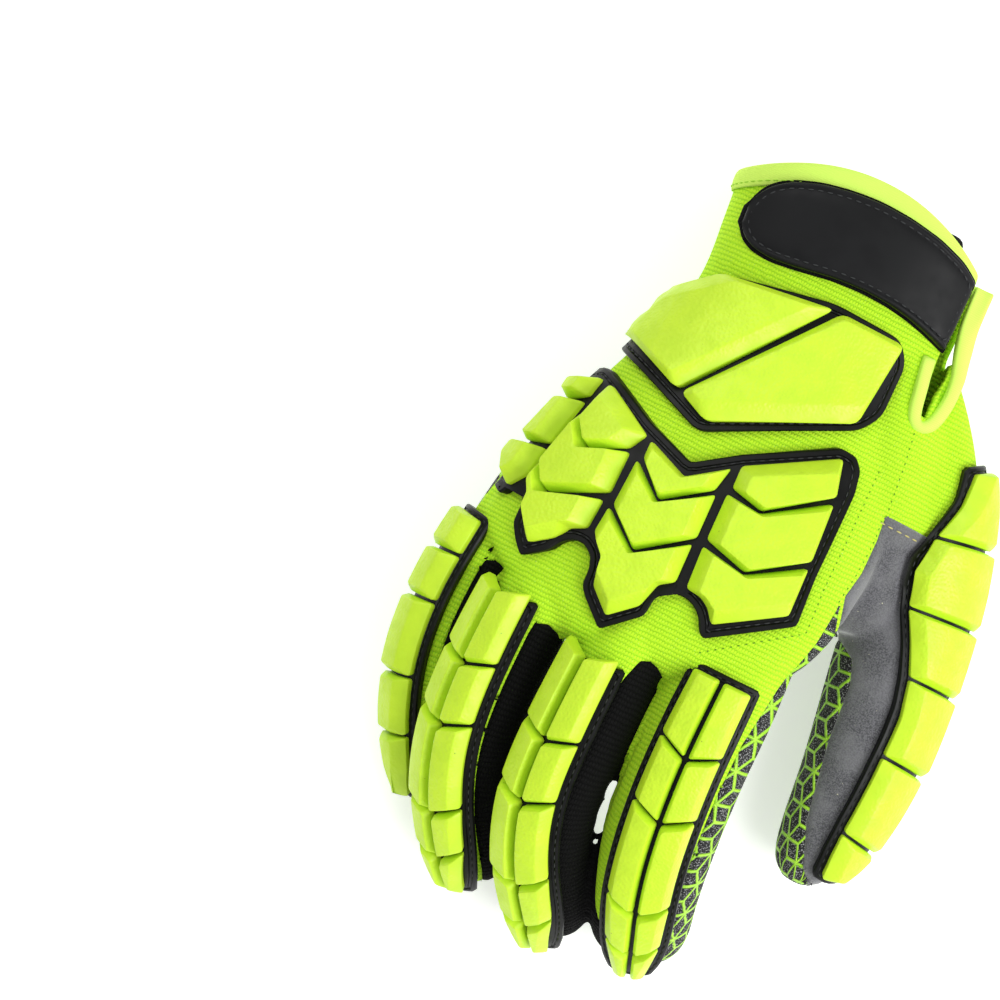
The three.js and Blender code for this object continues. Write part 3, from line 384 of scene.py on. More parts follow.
def fingerLine(name, shift, leaves):
    limb = limbs[name]
    along = np.linspace(leaves, 1, 24)
    line = spineAt(limb, along)[0][:, :2]
    line[:, 0] += shift * limb["width"] / 2 * sample(limb["rows"], "width", along)
    return np.vstack([line, line[-1] + (-6, 12)])


gussetOutlines = []
for a, shiftA, b, shiftB, leaves, crotch in gussets:
    first, second = fingerLine(a, shiftA, leaves), fingerLine(b, shiftB, leaves)
    top = [second[0] + (-0.4, -4), np.array(crotch) + (2.6, 0.9), crotch, np.array(crotch) + (-2.6, 0.9),
        first[0] + (0.4, -4)]
    gussetOutlines.append(np.vstack([first, second[::-1], top]))


def seamLevel(points):
    # height of the side seams over a point in plan
    x, y = points[:, 0], points[:, 1]
    along = np.clip((y - cuffY) / length, 0, 0.858)
    pinky, thumb = (sample(palmRows, key, along) * width for key in ("pinky", "thumb"))
    slope = -np.tan(np.radians(sample(palmRows, "roll", along)))
    palm = sample(palmRows, "middle", along) * height + (x - (pinky + thumb) / 2) * slope
    grid = []
    for share in np.linspace(0.12, 1, 16):
        grid.append([spineAt(limbs[name], share)[0] for name in ("index", "middle", "ring", "pinky")])
    grid = np.array(grid)
    finger = np.zeros(len(points))
    total = np.zeros(len(points))
    for k in range(4):
        lineY, lineX, lineZ = grid[:, k, 1], grid[:, k, 0], grid[:, k, 2]
        atX, atZ = np.interp(y, lineY, lineX), np.interp(y, lineY, lineZ)
        weight = 1 / (0.5 + np.abs(x - atX)) ** 3
        finger += atZ * weight
        total += weight
    finger /= total
    blend = np.clip((y - 2) / 16, 0, 1)
    return np.maximum(palm * (1 - blend) + finger * blend - seams["drop"], seams["lowest"])


indexSide = [(-30.6, -8), (-29.4, 4), (-25.8, 20), (-23.6, 38), (-23.8, 54), (-25.4, 70), (-27.6, 84),
    (-30.6, 97), (-34, 112),
             (-48, 112), (-47, 90), (-45, 75), (-41, 50), (-38.5, 24), (-34.8, 3)]


def palmSide(points):
    wrist = 9 * np.clip((-52 - points[:, 1]) / 14, 0, 1)
    level = np.maximum(seamLevel(points) - wrist, seams["lowest"])
    return np.minimum(points[:, 2] - level, np.minimum(distanceTo(thumbInside, points),
        distanceTo(indexSide, points)))


def patchSide(points):
    return np.maximum(distanceTo(patchOutline, points), seams["patchHeight"] - points[:, 2])


cuffCentre = (0.456 - 0.282) / 2 * width
cuffHalf = (0.456 + 0.282) / 2 * width
slit = {"x": -28.2, "width": 3.4, "end": -65.5}


def beyondCuff(points):
    side = np.clip((points[:, 0] - cuffCentre) / cuffHalf, -1, 1)
    return points[:, 1] - cuffY + 0.126 * width * (1 - side ** 2)


def slitSide(points):
    opening = slit["width"] / 2 + 1.2 * np.clip((slit["end"] - points[:, 1] - 4) / 20, 0, 1)
    return np.maximum(np.maximum(np.abs(points[:, 0] - slit["x"]) - opening, points[:, 1] - slit["end"]),
                      height / 2 - points[:, 2])


def gussetSide(index):
    return lambda points: np.maximum(distanceTo(gussetOutlines[index], points), -palmSide(points))


for field in (beyondCuff, slitSide):
    points, triangles = cutAlong(points, triangles, field(points))
    centres = points[triangles].mean(1)
    keep = field(centres) > 0
    triangles = triangles[keep]
fields = [("thumb_patch", patchSide), ("palm_panel", palmSide)]
fields += [(f"gusset_{i + 1}", gussetSide(i)) for i in range(3)]
panels, left = {}, triangles
for name, field in fields:
    points, left = cutAlong(points, left, field(points))
    taken = field(points[left].mean(1)) < 0
    panels[name], left = left[taken], left[~taken]
    print("cut", name, taken.sum())
panels["back_panel"] = left

# seams pull the cloth in
normals = np.zeros_like(points)
for part in panels.values():
    a, b, c = (points[part[:, k]] for k in range(3))
    facing = np.cross(b - a, c - a)
    for k in range(3):
        np.add.at(normals, part[:, k], facing)
normals /= np.linalg.norm(normals, axis=1, keepdims=True) + 1e-9
owner = np.full(len(points), -1)
border = np.zeros(len(points), bool)
for k, part in enumerate(panels.values()):
    used = np.unique(part)
    border[used[owner[used] >= 0]] = True
    owner[used] = k
tree = KDTree(int(border.sum()))
for i, p in enumerate(points[border]):
    tree.insert(p, i)
tree.balance()
used = np.unique(np.vstack(list(panels.values())))
near = np.full(len(points), 99.0)
for i in used:
    near[i] = tree.find(points[i])[2]
pull = seams["pinch"] * np.clip(1 - near / seams["pinchWidth"], 0, 1) ** 1.5
points -= normals * pull[:, None]
across, along, reach = clothPlace(points)


# Materials: helpers for node trees
def nodeIn(tree, kind, inputs=None, **settings):
    node = tree.nodes.new(kind)
    for key, value in settings.items():
        setattr(node, key, value)
    for key, value in (inputs or {}).items():
        socket = node.inputs[key]
        if isinstance(value, bpy.types.NodeSocket):
            tree.links.new(value, socket)
        else:
            socket.default_value = value
    return node


def maths(tree, operation, *values):
    node = nodeIn(tree, "ShaderNodeMath", dict(enumerate(values)), operation=operation)
    return node.outputs[0]


def blended(tree, share, first, second):
    node = nodeIn(tree, "ShaderNodeMix", data_type="RGBA")
    for socket, value in ((node.inputs[0], share), (node.inputs[6], first), (node.inputs[7], second)):
        if isinstance(value, bpy.types.NodeSocket):
            tree.links.new(value, socket)
        else:
            socket.default_value = value
    return node.outputs[2]


def ramp(tree, value, low, high, toLow=0.0, toHigh=1.0):
    node = nodeIn(tree, "ShaderNodeMapRange", {0: value, 1: low, 2: high, 3: toLow, 4: toHigh},
                  interpolation_type="SMOOTHSTEP")
    return node.outputs[0]


def group(name, inputs, outputs):
    tree = bpy.data.node_groups.new(name, "ShaderNodeTree")
    for label, kind, value in inputs:
        socket = tree.interface.new_socket(label, in_out="INPUT", socket_type=kind)
        if value is not None:
            socket.default_value = value
    for label, kind in outputs:
        tree.interface.new_socket(label, in_out="OUTPUT", socket_type=kind)
    entry = tree.nodes.new("NodeGroupInput")
    leave = tree.nodes.new("NodeGroupOutput")
    return tree, entry.outputs, leave.inputs


def useGroup(tree, effect, inputs):
    node = nodeIn(tree, "ShaderNodeGroup", node_tree=effect)
    for key, value in inputs.items():
        if isinstance(value, bpy.types.NodeSocket):
            tree.links.new(value, node.inputs[key])
        else:
            node.inputs[key].default_value = value
    return node.outputs


def newMaterial(name):
    material = bpy.data.materials.new(name)
    material.use_nodes = True
    tree = material.node_tree
    return material, tree, tree.nodes["Principled BSDF"].inputs


def wire(tree, value, socket):
    if isinstance(value, bpy.types.NodeSocket):
        tree.links.new(value, socket)
    else:
        socket.default_value = value


# knitted loops: ribs across the hand, built of V-shaped stitches in upright columns; the second output marks
# the hollows between ribs and columns, where the materials paint shade
knit, entry, leave = group("knittedLoops", [("Cloth", "NodeSocketVector", None),
    ("Rib", "NodeSocketFloat", 1.35),
    ("Column", "NodeSocketFloat", 0.85)], [("Height", "NodeSocketFloat"), ("PaintedHollowShade", "NodeSocketFloat")])
parts = nodeIn(knit, "ShaderNodeSeparateXYZ", {0: entry["Cloth"]}).outputs
wobble = nodeIn(knit, "ShaderNodeTexNoise", {"Vector": entry["Cloth"], "Scale": 0.35,
    "Detail": 2.0}).outputs[0]
acrossMm = maths(knit, "ADD", parts[0], maths(knit, "MULTIPLY", wobble, 0.5))
alongMm = maths(knit, "ADD", parts[1], maths(knit, "MULTIPLY", wobble, 0.9))
column = maths(knit, "PINGPONG", maths(knit, "DIVIDE", acrossMm, entry["Column"]), 0.5)
chevron = maths(knit, "ADD", maths(knit, "DIVIDE", alongMm, entry["Rib"]),
    maths(knit, "MULTIPLY", column, 0.42))
rib = maths(knit, "PINGPONG", chevron, 0.5)
ribRound = maths(knit, "SQRT", maths(knit, "MULTIPLY", rib, 2.0))
gap = ramp(knit, column, 0.0, 0.16)
crest = maths(knit, "MULTIPLY", ribRound, maths(knit, "ADD", maths(knit, "MULTIPLY", gap, 0.45), 0.55))
wire(knit, crest, leave["Height"])
wire(knit, maths(knit, "SUBTRACT", 1.0, crest), leave["PaintedHollowShade"])

# net of rhombuses: triangle lines with every third edge left out
net, entry, leave = group("rhombusNet", [("Cloth", "NodeSocketVector", None),
    ("Edge", "NodeSocketFloat", 5.8),
    ("Line", "NodeSocketFloat", 0.85)], [("Mask", "NodeSocketFloat"), ("Height", "NodeSocketFloat")])
nearest = None
for turn in (0, 60, 120):
    c, s = math.cos(math.radians(turn)), math.sin(math.radians(turn))
    x = nodeIn(net, "ShaderNodeVectorMath", {0: entry["Cloth"], 1: (c, s, 0)},
        operation="DOT_PRODUCT").outputs["Value"]
    y = nodeIn(net, "ShaderNodeVectorMath", {0: entry["Cloth"], 1: (-s, c, 0)},
        operation="DOT_PRODUCT").outputs["Value"]
    row = maths(net, "DIVIDE", y, maths(net, "MULTIPLY", entry["Edge"], 0.8660254))
    whole = maths(net, "ROUND", row)
    away = maths(net, "MULTIPLY", maths(net, "ABSOLUTE", maths(net, "SUBTRACT", row, whole)),
                 maths(net, "MULTIPLY", entry["Edge"], 0.8660254))
    place = maths(net, "SUBTRACT", maths(net, "DIVIDE", x, entry["Edge"]), maths(net, "MULTIPLY", whole, 1.5))
    cycle = maths(net, "FLOORED_MODULO", place, 3.0)
    beyond = maths(net, "MAXIMUM", maths(net, "SUBTRACT", 0.5,
        maths(net, "ABSOLUTE", maths(net, "SUBTRACT", cycle, 1.5))), 0.0)
    beyond = maths(net, "MULTIPLY", beyond, entry["Edge"])
    far = maths(net, "SQRT", maths(net, "ADD", maths(net, "MULTIPLY", away, away),
        maths(net, "MULTIPLY", beyond, beyond)))
    nearest = far if nearest is None else maths(net, "MINIMUM", nearest, far)
halfLine = maths(net, "MULTIPLY", entry["Line"], 0.5)
wire(net, ramp(net, maths(net, "SUBTRACT", nearest, halfLine), 0.06, -0.06), leave["Mask"])
wire(net, ramp(net, maths(net, "DIVIDE", nearest, halfLine), 1.15, 0.3), leave["Height"])


def clothVector(tree):
    return nodeIn(tree, "ShaderNodeAttribute", attribute_name="cloth").outputs["Vector"]


def millimetres(tree):
    return nodeIn(tree, "ShaderNodeVectorMath",
                  {0: nodeIn(tree, "ShaderNodeTexCoord").outputs["Object"], "Scale": 1000.0},
                  operation="SCALE").outputs[0]


def bumped(tree, value, depth, strength=1.0, under=None):
    inputs = {"Height": value, "Distance": depth / 1000, "Strength": strength}
    if under is not None:
        inputs["Normal"] = under
    return nodeIn(tree, "ShaderNodeBump", inputs).outputs[0]


def knitMaterial(name, colour, paintedHollowShadeColour, rib=1.35, column=0.85, depth=0.28, speckle=0.25):
    material, tree, surface = newMaterial(name)
    cloth = clothVector(tree)
    loops = useGroup(tree, knit, {"Cloth": cloth, "Rib": rib, "Column": column})
    mottle = nodeIn(tree, "ShaderNodeTexNoise", {"Vector": millimetres(tree), "Scale": 0.045,
        "Detail": 3.0}).outputs[0]
    fibre = nodeIn(tree, "ShaderNodeTexNoise", {"Vector": millimetres(tree), "Scale": 3.2,
        "Detail": 2.0}).outputs[0]
    flecks = ramp(tree, fibre, 0.66, 0.74, 0.0, speckle)
    # painted shade: the hollows between ribs and columns take the darker second colour
    tone = blended(tree, loops["PaintedHollowShade"], colour, paintedHollowShadeColour)
    tone = blended(tree, maths(tree, "MULTIPLY", mottle, 0.3), tone, [c * 0.72 for c in colour[:3]] + [1])
    wire(tree, blended(tree, flecks, tone, (0.85, 0.95, 0.75, 1)), surface["Base Color"])
    wire(tree, ramp(tree, fibre, 0.3, 0.7, 0.72, 0.9), surface["Roughness"])
    surface["Sheen Weight"].default_value = 0.3 * min(colour[1] * 2, 1)
    surface["Sheen Tint"].default_value = colour
    surface["Specular IOR Level"].default_value = 0.2 if colour[1] > 0.1 else 0.08
    fine = bumped(tree, fibre, 0.05)
    wire(tree, bumped(tree, loops["Height"], depth, 1.0, fine), surface["Normal"])
    return material


# the second colour of each knit is painted shade for its hollows
materials = {
    "limeKnit": knitMaterial("limeKnit", (0.62, 1.0, 0.03, 1), (0.3, 0.74, 0.008, 1)),
    "cuffKnit": knitMaterial("cuffKnit", (0.56, 1.0, 0.02, 1), (0.34, 0.82, 0.01, 1), 0.9, 0.7, 0.16),
    "blackKnit": knitMaterial("blackKnit", (0.007, 0.007, 0.007, 1), (0.002, 0.002, 0.002, 1), 1.5, 1.0,
    0.4, 0.004),
    "binding": knitMaterial("binding", (0.72, 1.0, 0.16, 1), (0.6, 0.96, 0.1, 1), 0.55, 0.5, 0.05, 0.1),
}


def palmMaterial():
    material, tree, surface = newMaterial("gripPalm")
    cloth = clothVector(tree)
    loops = useGroup(tree, knit, {"Cloth": cloth, "Rib": 0.8, "Column": 0.6})
    lines = useGroup(tree, net, {"Cloth": cloth, "Edge": 5.8, "Line": 1.0})
    fleck = nodeIn(tree, "ShaderNodeTexNoise", {"Vector": millimetres(tree), "Scale": 2.6,
        "Detail": 1.0}).outputs[0]
    heather = blended(tree, ramp(tree, fleck, 0.56, 0.64), (0.008, 0.0085, 0.009, 1), (0.42, 0.43, 0.42, 1))
    # painted shade: the hollows of the knit are darkened towards black
    heather = blended(tree, maths(tree, "MULTIPLY", loops["PaintedHollowShade"], 0.75), heather, (0.006, 0.006, 0.007, 1))
    worn = nodeIn(tree, "ShaderNodeTexNoise", {"Vector": millimetres(tree), "Scale": 0.6,
        "Detail": 3.0}).outputs[0]
    lineColour = blended(tree, ramp(tree, worn, 0.35, 0.7), (0.38, 0.78, 0.03, 1), (0.5, 0.92, 0.05, 1))
    wire(tree, blended(tree, lines["Mask"], heather, lineColour), surface["Base Color"])
    wire(tree, ramp(tree, lines["Mask"], 0.0, 1.0, 0.9, 0.42), surface["Roughness"])
    wire(tree, bumped(tree, lines["Height"], 0.45, 1.0, bumped(tree, loops["Height"], 0.14)),
        surface["Normal"])
    return material


def suedeMaterial():
    material, tree, surface = newMaterial("suede")
    place = millimetres(tree)
    nap = nodeIn(tree, "ShaderNodeTexNoise", {"Vector": place, "Scale": 2.4, "Detail": 4.0}).outputs[0]
    cloud = nodeIn(tree, "ShaderNodeTexNoise", {"Vector": place, "Scale": 0.09, "Detail": 3.0}).outputs[0]
    tone = blended(tree, ramp(tree, nap, 0.35, 0.65), (0.06, 0.06, 0.066, 1), (0.15, 0.15, 0.162, 1))
    tone = blended(tree, ramp(tree, cloud, 0.4, 0.62, 0.0, 0.45), tone, (0.19, 0.19, 0.2, 1))
    lint = ramp(tree, nodeIn(tree, "ShaderNodeTexNoise", {"Vector": place, "Scale": 0.9}).outputs[0], 0.74,
        0.78)
    wire(tree, blended(tree, lint, tone, (0.5, 0.48, 0.36, 1)), surface["Base Color"])
    surface["Roughness"].default_value = 0.95
    surface["Sheen Weight"].default_value = 0.6
    surface["Specular IOR Level"].default_value = 0.15
    wire(tree, bumped(tree, nap, 0.12), surface["Normal"])
    return material


def rubberMaterial(name, colour, shade, roughness, pebble, glow):
    material, tree, surface = newMaterial(name)
    place = millimetres(tree)
    top = nodeIn(tree, "ShaderNodeAttribute", attribute_name="plateau").outputs["Fac"]
    grain = nodeIn(tree, "ShaderNodeTexVoronoi", {"Vector": place, "Scale": 1.15, "Randomness": 0.9},
        feature="SMOOTH_F1").outputs[0]
    cloud = nodeIn(tree, "ShaderNodeTexNoise", {"Vector": place, "Scale": 0.16, "Detail": 2.0}).outputs[0]
    dust = ramp(tree, nodeIn(tree, "ShaderNodeTexNoise", {"Vector": place, "Scale": 0.75}).outputs[0],
        0.785, 0.8)
    tone = blended(tree, ramp(tree, cloud, 0.35, 0.7), colour, shade)
    wire(tree, blended(tree, maths(tree, "MULTIPLY", dust, 0.6), tone, (0.03, 0.03, 0.02, 1)),
        surface["Base Color"])
    wire(tree, ramp(tree, cloud, 0.3, 0.7, roughness - 0.05, roughness + 0.08), surface["Roughness"])
    surface["Specular IOR Level"].default_value = 0.4 if glow else 0.22
    if glow:
        surface["Subsurface Weight"].default_value = 0.12
        surface["Subsurface Radius"].default_value = (0.0012, 0.0015, 0.0004)
    wire(tree, bumped(tree, maths(tree, "MULTIPLY", grain, ramp(tree, top, 0.2, 0.9, 0.15, 1.0)), pebble),
        surface["Normal"])
    return material


# very dark green knit for the sheet inside the cuff: painted shade of the lime knit
materials["paintedShadeLining"] = knitMaterial("paintedShadeLining", (0.05, 0.09, 0.008, 1), (0.02, 0.04, 0.004, 1))
materials["gripPalm"] = palmMaterial()
materials["suede"] = suedeMaterial()
materials["limeRubber"] = rubberMaterial("limeRubber", (0.6, 0.86, 0.03, 1), (0.55, 0.81, 0.025, 1), 0.42,
    0.16, True)
materials["blackRubber"] = rubberMaterial("blackRubber", (0.0024, 0.0026, 0.0026, 1),
    (0.0035, 0.0038, 0.0038, 1), 0.4, 0.03, False)
materials["strapRubber"] = rubberMaterial("strapRubber", (0.003, 0.0032, 0.0038, 1),
    (0.004, 0.0043, 0.005, 1), 0.5, 0.015, False)
print("materials made")

# Cloth panels from the cut skin
panelLooks = {
    "back_panel": ("limeKnit", "lime_knit"), "palm_panel": ("gripPalm", "heathered_knit"),
    "thumb_patch": ("suede", "grey_suede"), "gusset_1": ("blackKnit", "black_knit"),
    "gusset_2": ("blackKnit", "black_knit"), "gusset_3": ("blackKnit", "black_knit"),
}


def dress(piece, look, slot, *nodes):
    piece.data.materials.clear()
    piece.data.materials.append(materials[look])
    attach(piece, "root")
    if nodes:
        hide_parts(*nodes)
    return piece


for name, part in panels.items():
    used, renumbered = np.unique(part, return_inverse=True)
    piece = newMesh(name + "_cloth", points[used], renumbered.reshape(-1, 3).tolist())
    store = piece.data.attributes.new("cloth", "FLOAT_VECTOR", "POINT")
    store.data.foreach_set("vector", np.stack([across[used], along[used], reach[used]], 1).ravel())
    wall = piece.modifiers.new("wall", "SOLIDIFY")
    wall.thickness, wall.offset, wall.use_rim = hand["wall"] / 1000, -1, True
    finished(piece)
    look, slot = panelLooks[name]
    dress(piece, look, slot, name)
bpy.data.objects.remove(skin)
print("panels dressed")


# Stitches along a line: the line becomes a curve with points a step apart, and each carries one
def stitchNodes():
    tree = bpy.data.node_groups.new("stitchRow", "GeometryNodeTree")
    tree.is_modifier = True
    face = tree.interface
    face.new_socket("Line", in_out="INPUT", socket_type="NodeSocketGeometry")
    for label, kind in (("Step", "Float"), ("Long", "Float"), ("Thick", "Float"), ("Thread", "Material")):
        face.new_socket(label, in_out="INPUT", socket_type="NodeSocket" + kind)
    face.new_socket("Stitches", in_out="OUTPUT", socket_type="NodeSocketGeometry")
    nodes, links = tree.nodes, tree.links
    start, end = nodes.new("NodeGroupInput"), nodes.new("NodeGroupOutput")
    curve = nodes.new("GeometryNodeMeshToCurve")
    spaced = nodes.new("GeometryNodeResampleCurve")
    spaced.mode = "LENGTH"
    tangent = nodes.new("GeometryNodeInputTangent")
    turned = nodes.new("FunctionNodeAlignRotationToVector")
    turned.axis = "X"
    ball = nodes.new("GeometryNodeMeshIcoSphere")
    ball.inputs["Radius"].default_value = 0.5
    ball.inputs["Subdivisions"].default_value = 2
    size = nodes.new("ShaderNodeCombineXYZ")
    placed = nodes.new("GeometryNodeInstanceOnPoints")
    solid = nodes.new("GeometryNodeRealizeInstances")
    look = nodes.new("GeometryNodeSetMaterial")
    for a, b in (
            (start.outputs["Line"], curve.inputs[0]), (curve.outputs[0], spaced.inputs["Curve"]),
            (start.outputs["Step"], spaced.inputs["Length"]), (spaced.outputs[0], placed.inputs["Points"]),
            (tangent.outputs[0], turned.inputs["Vector"]), (turned.outputs[0], placed.inputs["Rotation"]),
            (ball.outputs["Mesh"], placed.inputs["Instance"]), (start.outputs["Long"], size.inputs[0]),
            (start.outputs["Thick"], size.inputs[1]), (start.outputs["Thick"], size.inputs[2]),
            (size.outputs[0], placed.inputs["Scale"]), (placed.outputs[0], solid.inputs[0]),
            (solid.outputs[0], look.inputs["Geometry"]), (start.outputs["Thread"], look.inputs["Material"]),
            (look.outputs[0], end.inputs[0])):
        links.new(a, b)
    return tree


def threadMaterial(name, colour):
    material, tree, surface = newMaterial(name)
    fibre = nodeIn(tree, "ShaderNodeTexNoise", {"Scale": 4000.0})
    surface["Roughness"].default_value = 0.8
    wire(tree, blended(tree, fibre.outputs["Fac"], tuple(c * 0.7 for c in colour[:3]) + (1,), colour),
        surface["Base Color"])
    return material


stitchRow = stitchNodes()
threads = {
    "blackThread": threadMaterial("blackThread", (0.03, 0.032, 0.034, 1)),
    "limeThread": threadMaterial("limeThread", (0.42, 0.8, 0.04, 1)),
    "seamThread": threadMaterial("seamThread", (0.16, 0.38, 0.01, 1)),
    "tanThread": threadMaterial("tanThread", (0.62, 0.55, 0.2, 1)),
}


def stitches(name, lines, thread, step=2.6, long=1.7, thick=0.5):
    # lines are lists of points in millimetres
    spots, edges = [], []
    for line in lines:
        first = len(spots)
        spots += [tuple(p) for p in line]
        edges += [(first + i, first + i + 1) for i in range(len(line) - 1)]
    data = bpy.data.meshes.new(name)
    data.from_pydata([tuple((np.array(p) - middle) / 1000) for p in spots], edges, [])
    guide = bpy.data.objects.new(name, data)
    scene.collection.objects.link(guide)
    rows = guide.modifiers.new("rows", "NODES")
    rows.node_group = stitchRow
    sockets = {item.name: item.identifier for item in stitchRow.interface.items_tree
        if item.in_out == "INPUT"}
    for label, value in (("Step", step / 1000), ("Long", long / 1000), ("Thick", thick / 1000),
            ("Thread", threads[thread])):
        rows[sockets[label]] = value
    bpy.context.view_layer.update()
    sewn = bpy.data.meshes.new_from_object(guide.evaluated_get(bpy.context.evaluated_depsgraph_get()))
    guide.modifiers.clear()
    guide.data = sewn
    sewn.shade_smooth()
    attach(guide, "root")
    return guide


def rimStitches(name, outline, inset, bend, rise=None):
    line = rounded(offset(outline, inset), 0.01, 2)
    line = np.vstack([line, line[:1]])
    steps = np.concatenate([[0], np.cumsum(np.linalg.norm(np.diff(line, axis=0), axis=1))])
    at = np.linspace(0, steps[-1], max(int(steps[-1] / 1.3), 8))
    flat = np.stack([np.interp(at, steps, line[:, 0]), np.interp(at, steps, line[:, 1]),
                     np.full(len(at), plateTop - 0.28 if rise is None else rise)], 1)
    return stitches(name + "_stitches", [bend(flat)], "blackThread", 2.7, 1.75, 0.46)


def underPlan(spots, rise=0.15):
    # points on the cloth straight below places in plan
    found = []
    for x, y in spots:
        hit = skinTree.ray_cast(Vector((x, y, 200)), Vector((0, 0, -1)))
        if hit[0] is not None:
            found.append(np.array(hit[0]) + np.array(hit[1]) * rise)
    return found


def betweenSpots(spots, step=1.0):
    spots = np.array(spots, float)
    steps = np.concatenate([[0], np.cumsum(np.linalg.norm(np.diff(spots, axis=0), axis=1))])
    at = np.linspace(0, steps[-1], int(steps[-1] / step) + 2)
    return np.stack([np.interp(at, steps, spots[:, k]) for k in (0, 1)], 1)


# Rubber pieces: drawn flat, then bent over the hand
def spotsOnPalm(flat, grow):
    # distances along and around under points in plan
    x, y = flat[:, 0], flat[:, 1]
    along = (y - cuffY) / length
    around = np.zeros(len(flat))
    for _ in range(8):
        low, high = np.full(len(flat), -89.0), np.full(len(flat), 89.0)
        for _ in range(20):
            mid = (low + high) / 2
            less = palmForm(along, mid, grow)[:, 0] < x
            low, high = np.where(less, mid, low), np.where(less, high, mid)
        around = (low + high) / 2
        low, high = np.full(len(flat), -0.1), np.full(len(flat), 1.06)
        for _ in range(20):
            mid = (low + high) / 2
            less = palmForm(mid, around, grow)[:, 1] < y
            low, high = np.where(less, mid, low), np.where(less, high, mid)
        along = (low + high) / 2
    return along, around


def offset(outline, widths):
    # outline moved inwards edge by edge, corners kept sharp
    outline = np.asarray(outline, float)
    count = len(outline)
    widths = np.broadcast_to(np.asarray(widths, float), (count,))
    area = 0.5 * np.sum(outline[:, 0] * np.roll(outline[:, 1], -1) - np.roll(outline[:, 0], -1) * outline[:,
        1])
    turn = 1 if area > 0 else -1
    edges = np.roll(outline, -1, axis=0) - outline
    edges /= np.linalg.norm(edges, axis=1, keepdims=True) + 1e-9
    inwards = np.stack([-edges[:, 1], edges[:, 0]], 1) * turn
    moved = []
    for i in range(count):
        a, b = inwards[i - 1], inwards[i]
        wa, wb = widths[i - 1], widths[i]
        det = a[0] * b[1] - a[1] * b[0]
        if abs(det) < 0.12:
            step = (a * wa + b * wb) / 2
        else:
            step = np.array([wa * b[1] - wb * a[1], a[0] * wb - b[0] * wa]) / det
        moved.append(outline[i] + step)
    return np.array(moved)


def rounded(outline, radius, steps=4):
    # corners of an outline turned into small arcs
    outline = np.asarray(outline, float)
    result = []
    for i, corner in enumerate(outline):
        before, after = outline[i - 1], outline[(i + 1) % len(outline)]
        a, b = before - corner, after - corner
        la, lb = np.linalg.norm(a), np.linalg.norm(b)
        cut = min(radius[i] if hasattr(radius, "__len__") else radius, 0.45 * la, 0.45 * lb)
        for t in np.linspace(0, 1, steps):
            start, end = corner + a / la * cut, corner + b / lb * cut
            result.append((1 - t) ** 2 * start + 2 * t * (1 - t) * corner + t * t * end)
    return np.array(result)


def stacked(name, levels, bend, soften=0.0, cell=2.4, plateau=False):
    # levels are (outline, height) pairs from the bottom up, all with the same corner count
    count = len(levels[0][0])
    mesh = bmesh.new()
    mark = mesh.verts.layers.float.new("plateau")
    rows = []
    for outline, rise in levels:
        row = [mesh.verts.new((x, y, rise)) for x, y in outline]
        rows.append(row)
    if plateau:
        for vert in rows[-1]:
            vert[mark] = 1.0
    for lower, upper in zip(rows, rows[1:]):
        for i in range(count):
            j = (i + 1) % count
            mesh.faces.new((lower[i], lower[j], upper[j], upper[i]))
    mesh.faces.new(rows[0][::-1])
    mesh.faces.new(rows[-1])
    bmesh.ops.recalc_face_normals(mesh, faces=mesh.faces)
    if soften:
        bmesh.ops.bevel(mesh, geom=[e for e in mesh.edges if e.calc_face_angle(0) > math.radians(16)],
            offset=soften,
                        segments=2, profile=0.5, affect="EDGES", clamp_overlap=True)
    bmesh.ops.triangulate(mesh, faces=[f for f in mesh.faces if len(f.verts) > 4])
    if cell:
        low = np.min([v.co[:] for v in mesh.verts], axis=0)
        high = np.max([v.co[:] for v in mesh.verts], axis=0)
        for axis in (0, 1):
            direction = [0, 0, 0]
            direction[axis] = 1
            for at in np.arange(low[axis] + cell / 2, high[axis], cell):
                cut = [0, 0, 0]
                cut[axis] = at
                bmesh.ops.bisect_plane(mesh, geom=mesh.verts[:] + mesh.edges[:] + mesh.faces[:], plane_co=cut,
                                       plane_no=direction, dist=1e-4)
    flat = np.array([v.co[:] for v in mesh.verts])
    for vert, co in zip(mesh.verts, (bend(flat) - middle) / 1000):
        vert.co = co
    data = bpy.data.meshes.new(name)
    mesh.to_mesh(data)
    mesh.free()
    data.shade_smooth()
    data.set_sharp_from_angle(angle=math.radians(28))
    piece = bpy.data.objects.new(name, data)
    scene.collection.objects.link(piece)
    return piece


def overPalm(grow):
    def bend(flat):
        along, around = spotsOnPalm(flat[:, :2], grow)
        return palmForm(along, around, flat[:, 2])
    return bend


plateBottom, plateTop, blockBottom, blockTop = 0.1, 2.55, 2.2, 7.2


def plateLevels(outline, rim=2.1):
    # a rubber base with a rounded edge and a sunk line for its stitches
    return [(outline, plateBottom), (outline, plateTop - 0.45), (offset(outline, 0.4), plateTop),
            (offset(outline, rim - 0.55), plateTop), (offset(outline, rim - 0.25), plateTop - 0.4),
            (offset(outline, rim + 0.25), plateTop - 0.4), (offset(outline, rim + 0.55), plateTop)]




def blockLevels(corners, slopes, shoulder, top, corner=0.9):
    # side walls up to a shoulder, then a slope of its own width along each edge
    base = rounded(corners, corner, 3)
    return [(base, blockBottom), (base, shoulder), (rounded(offset(corners, slopes), corner * 0.8, 3), top)]


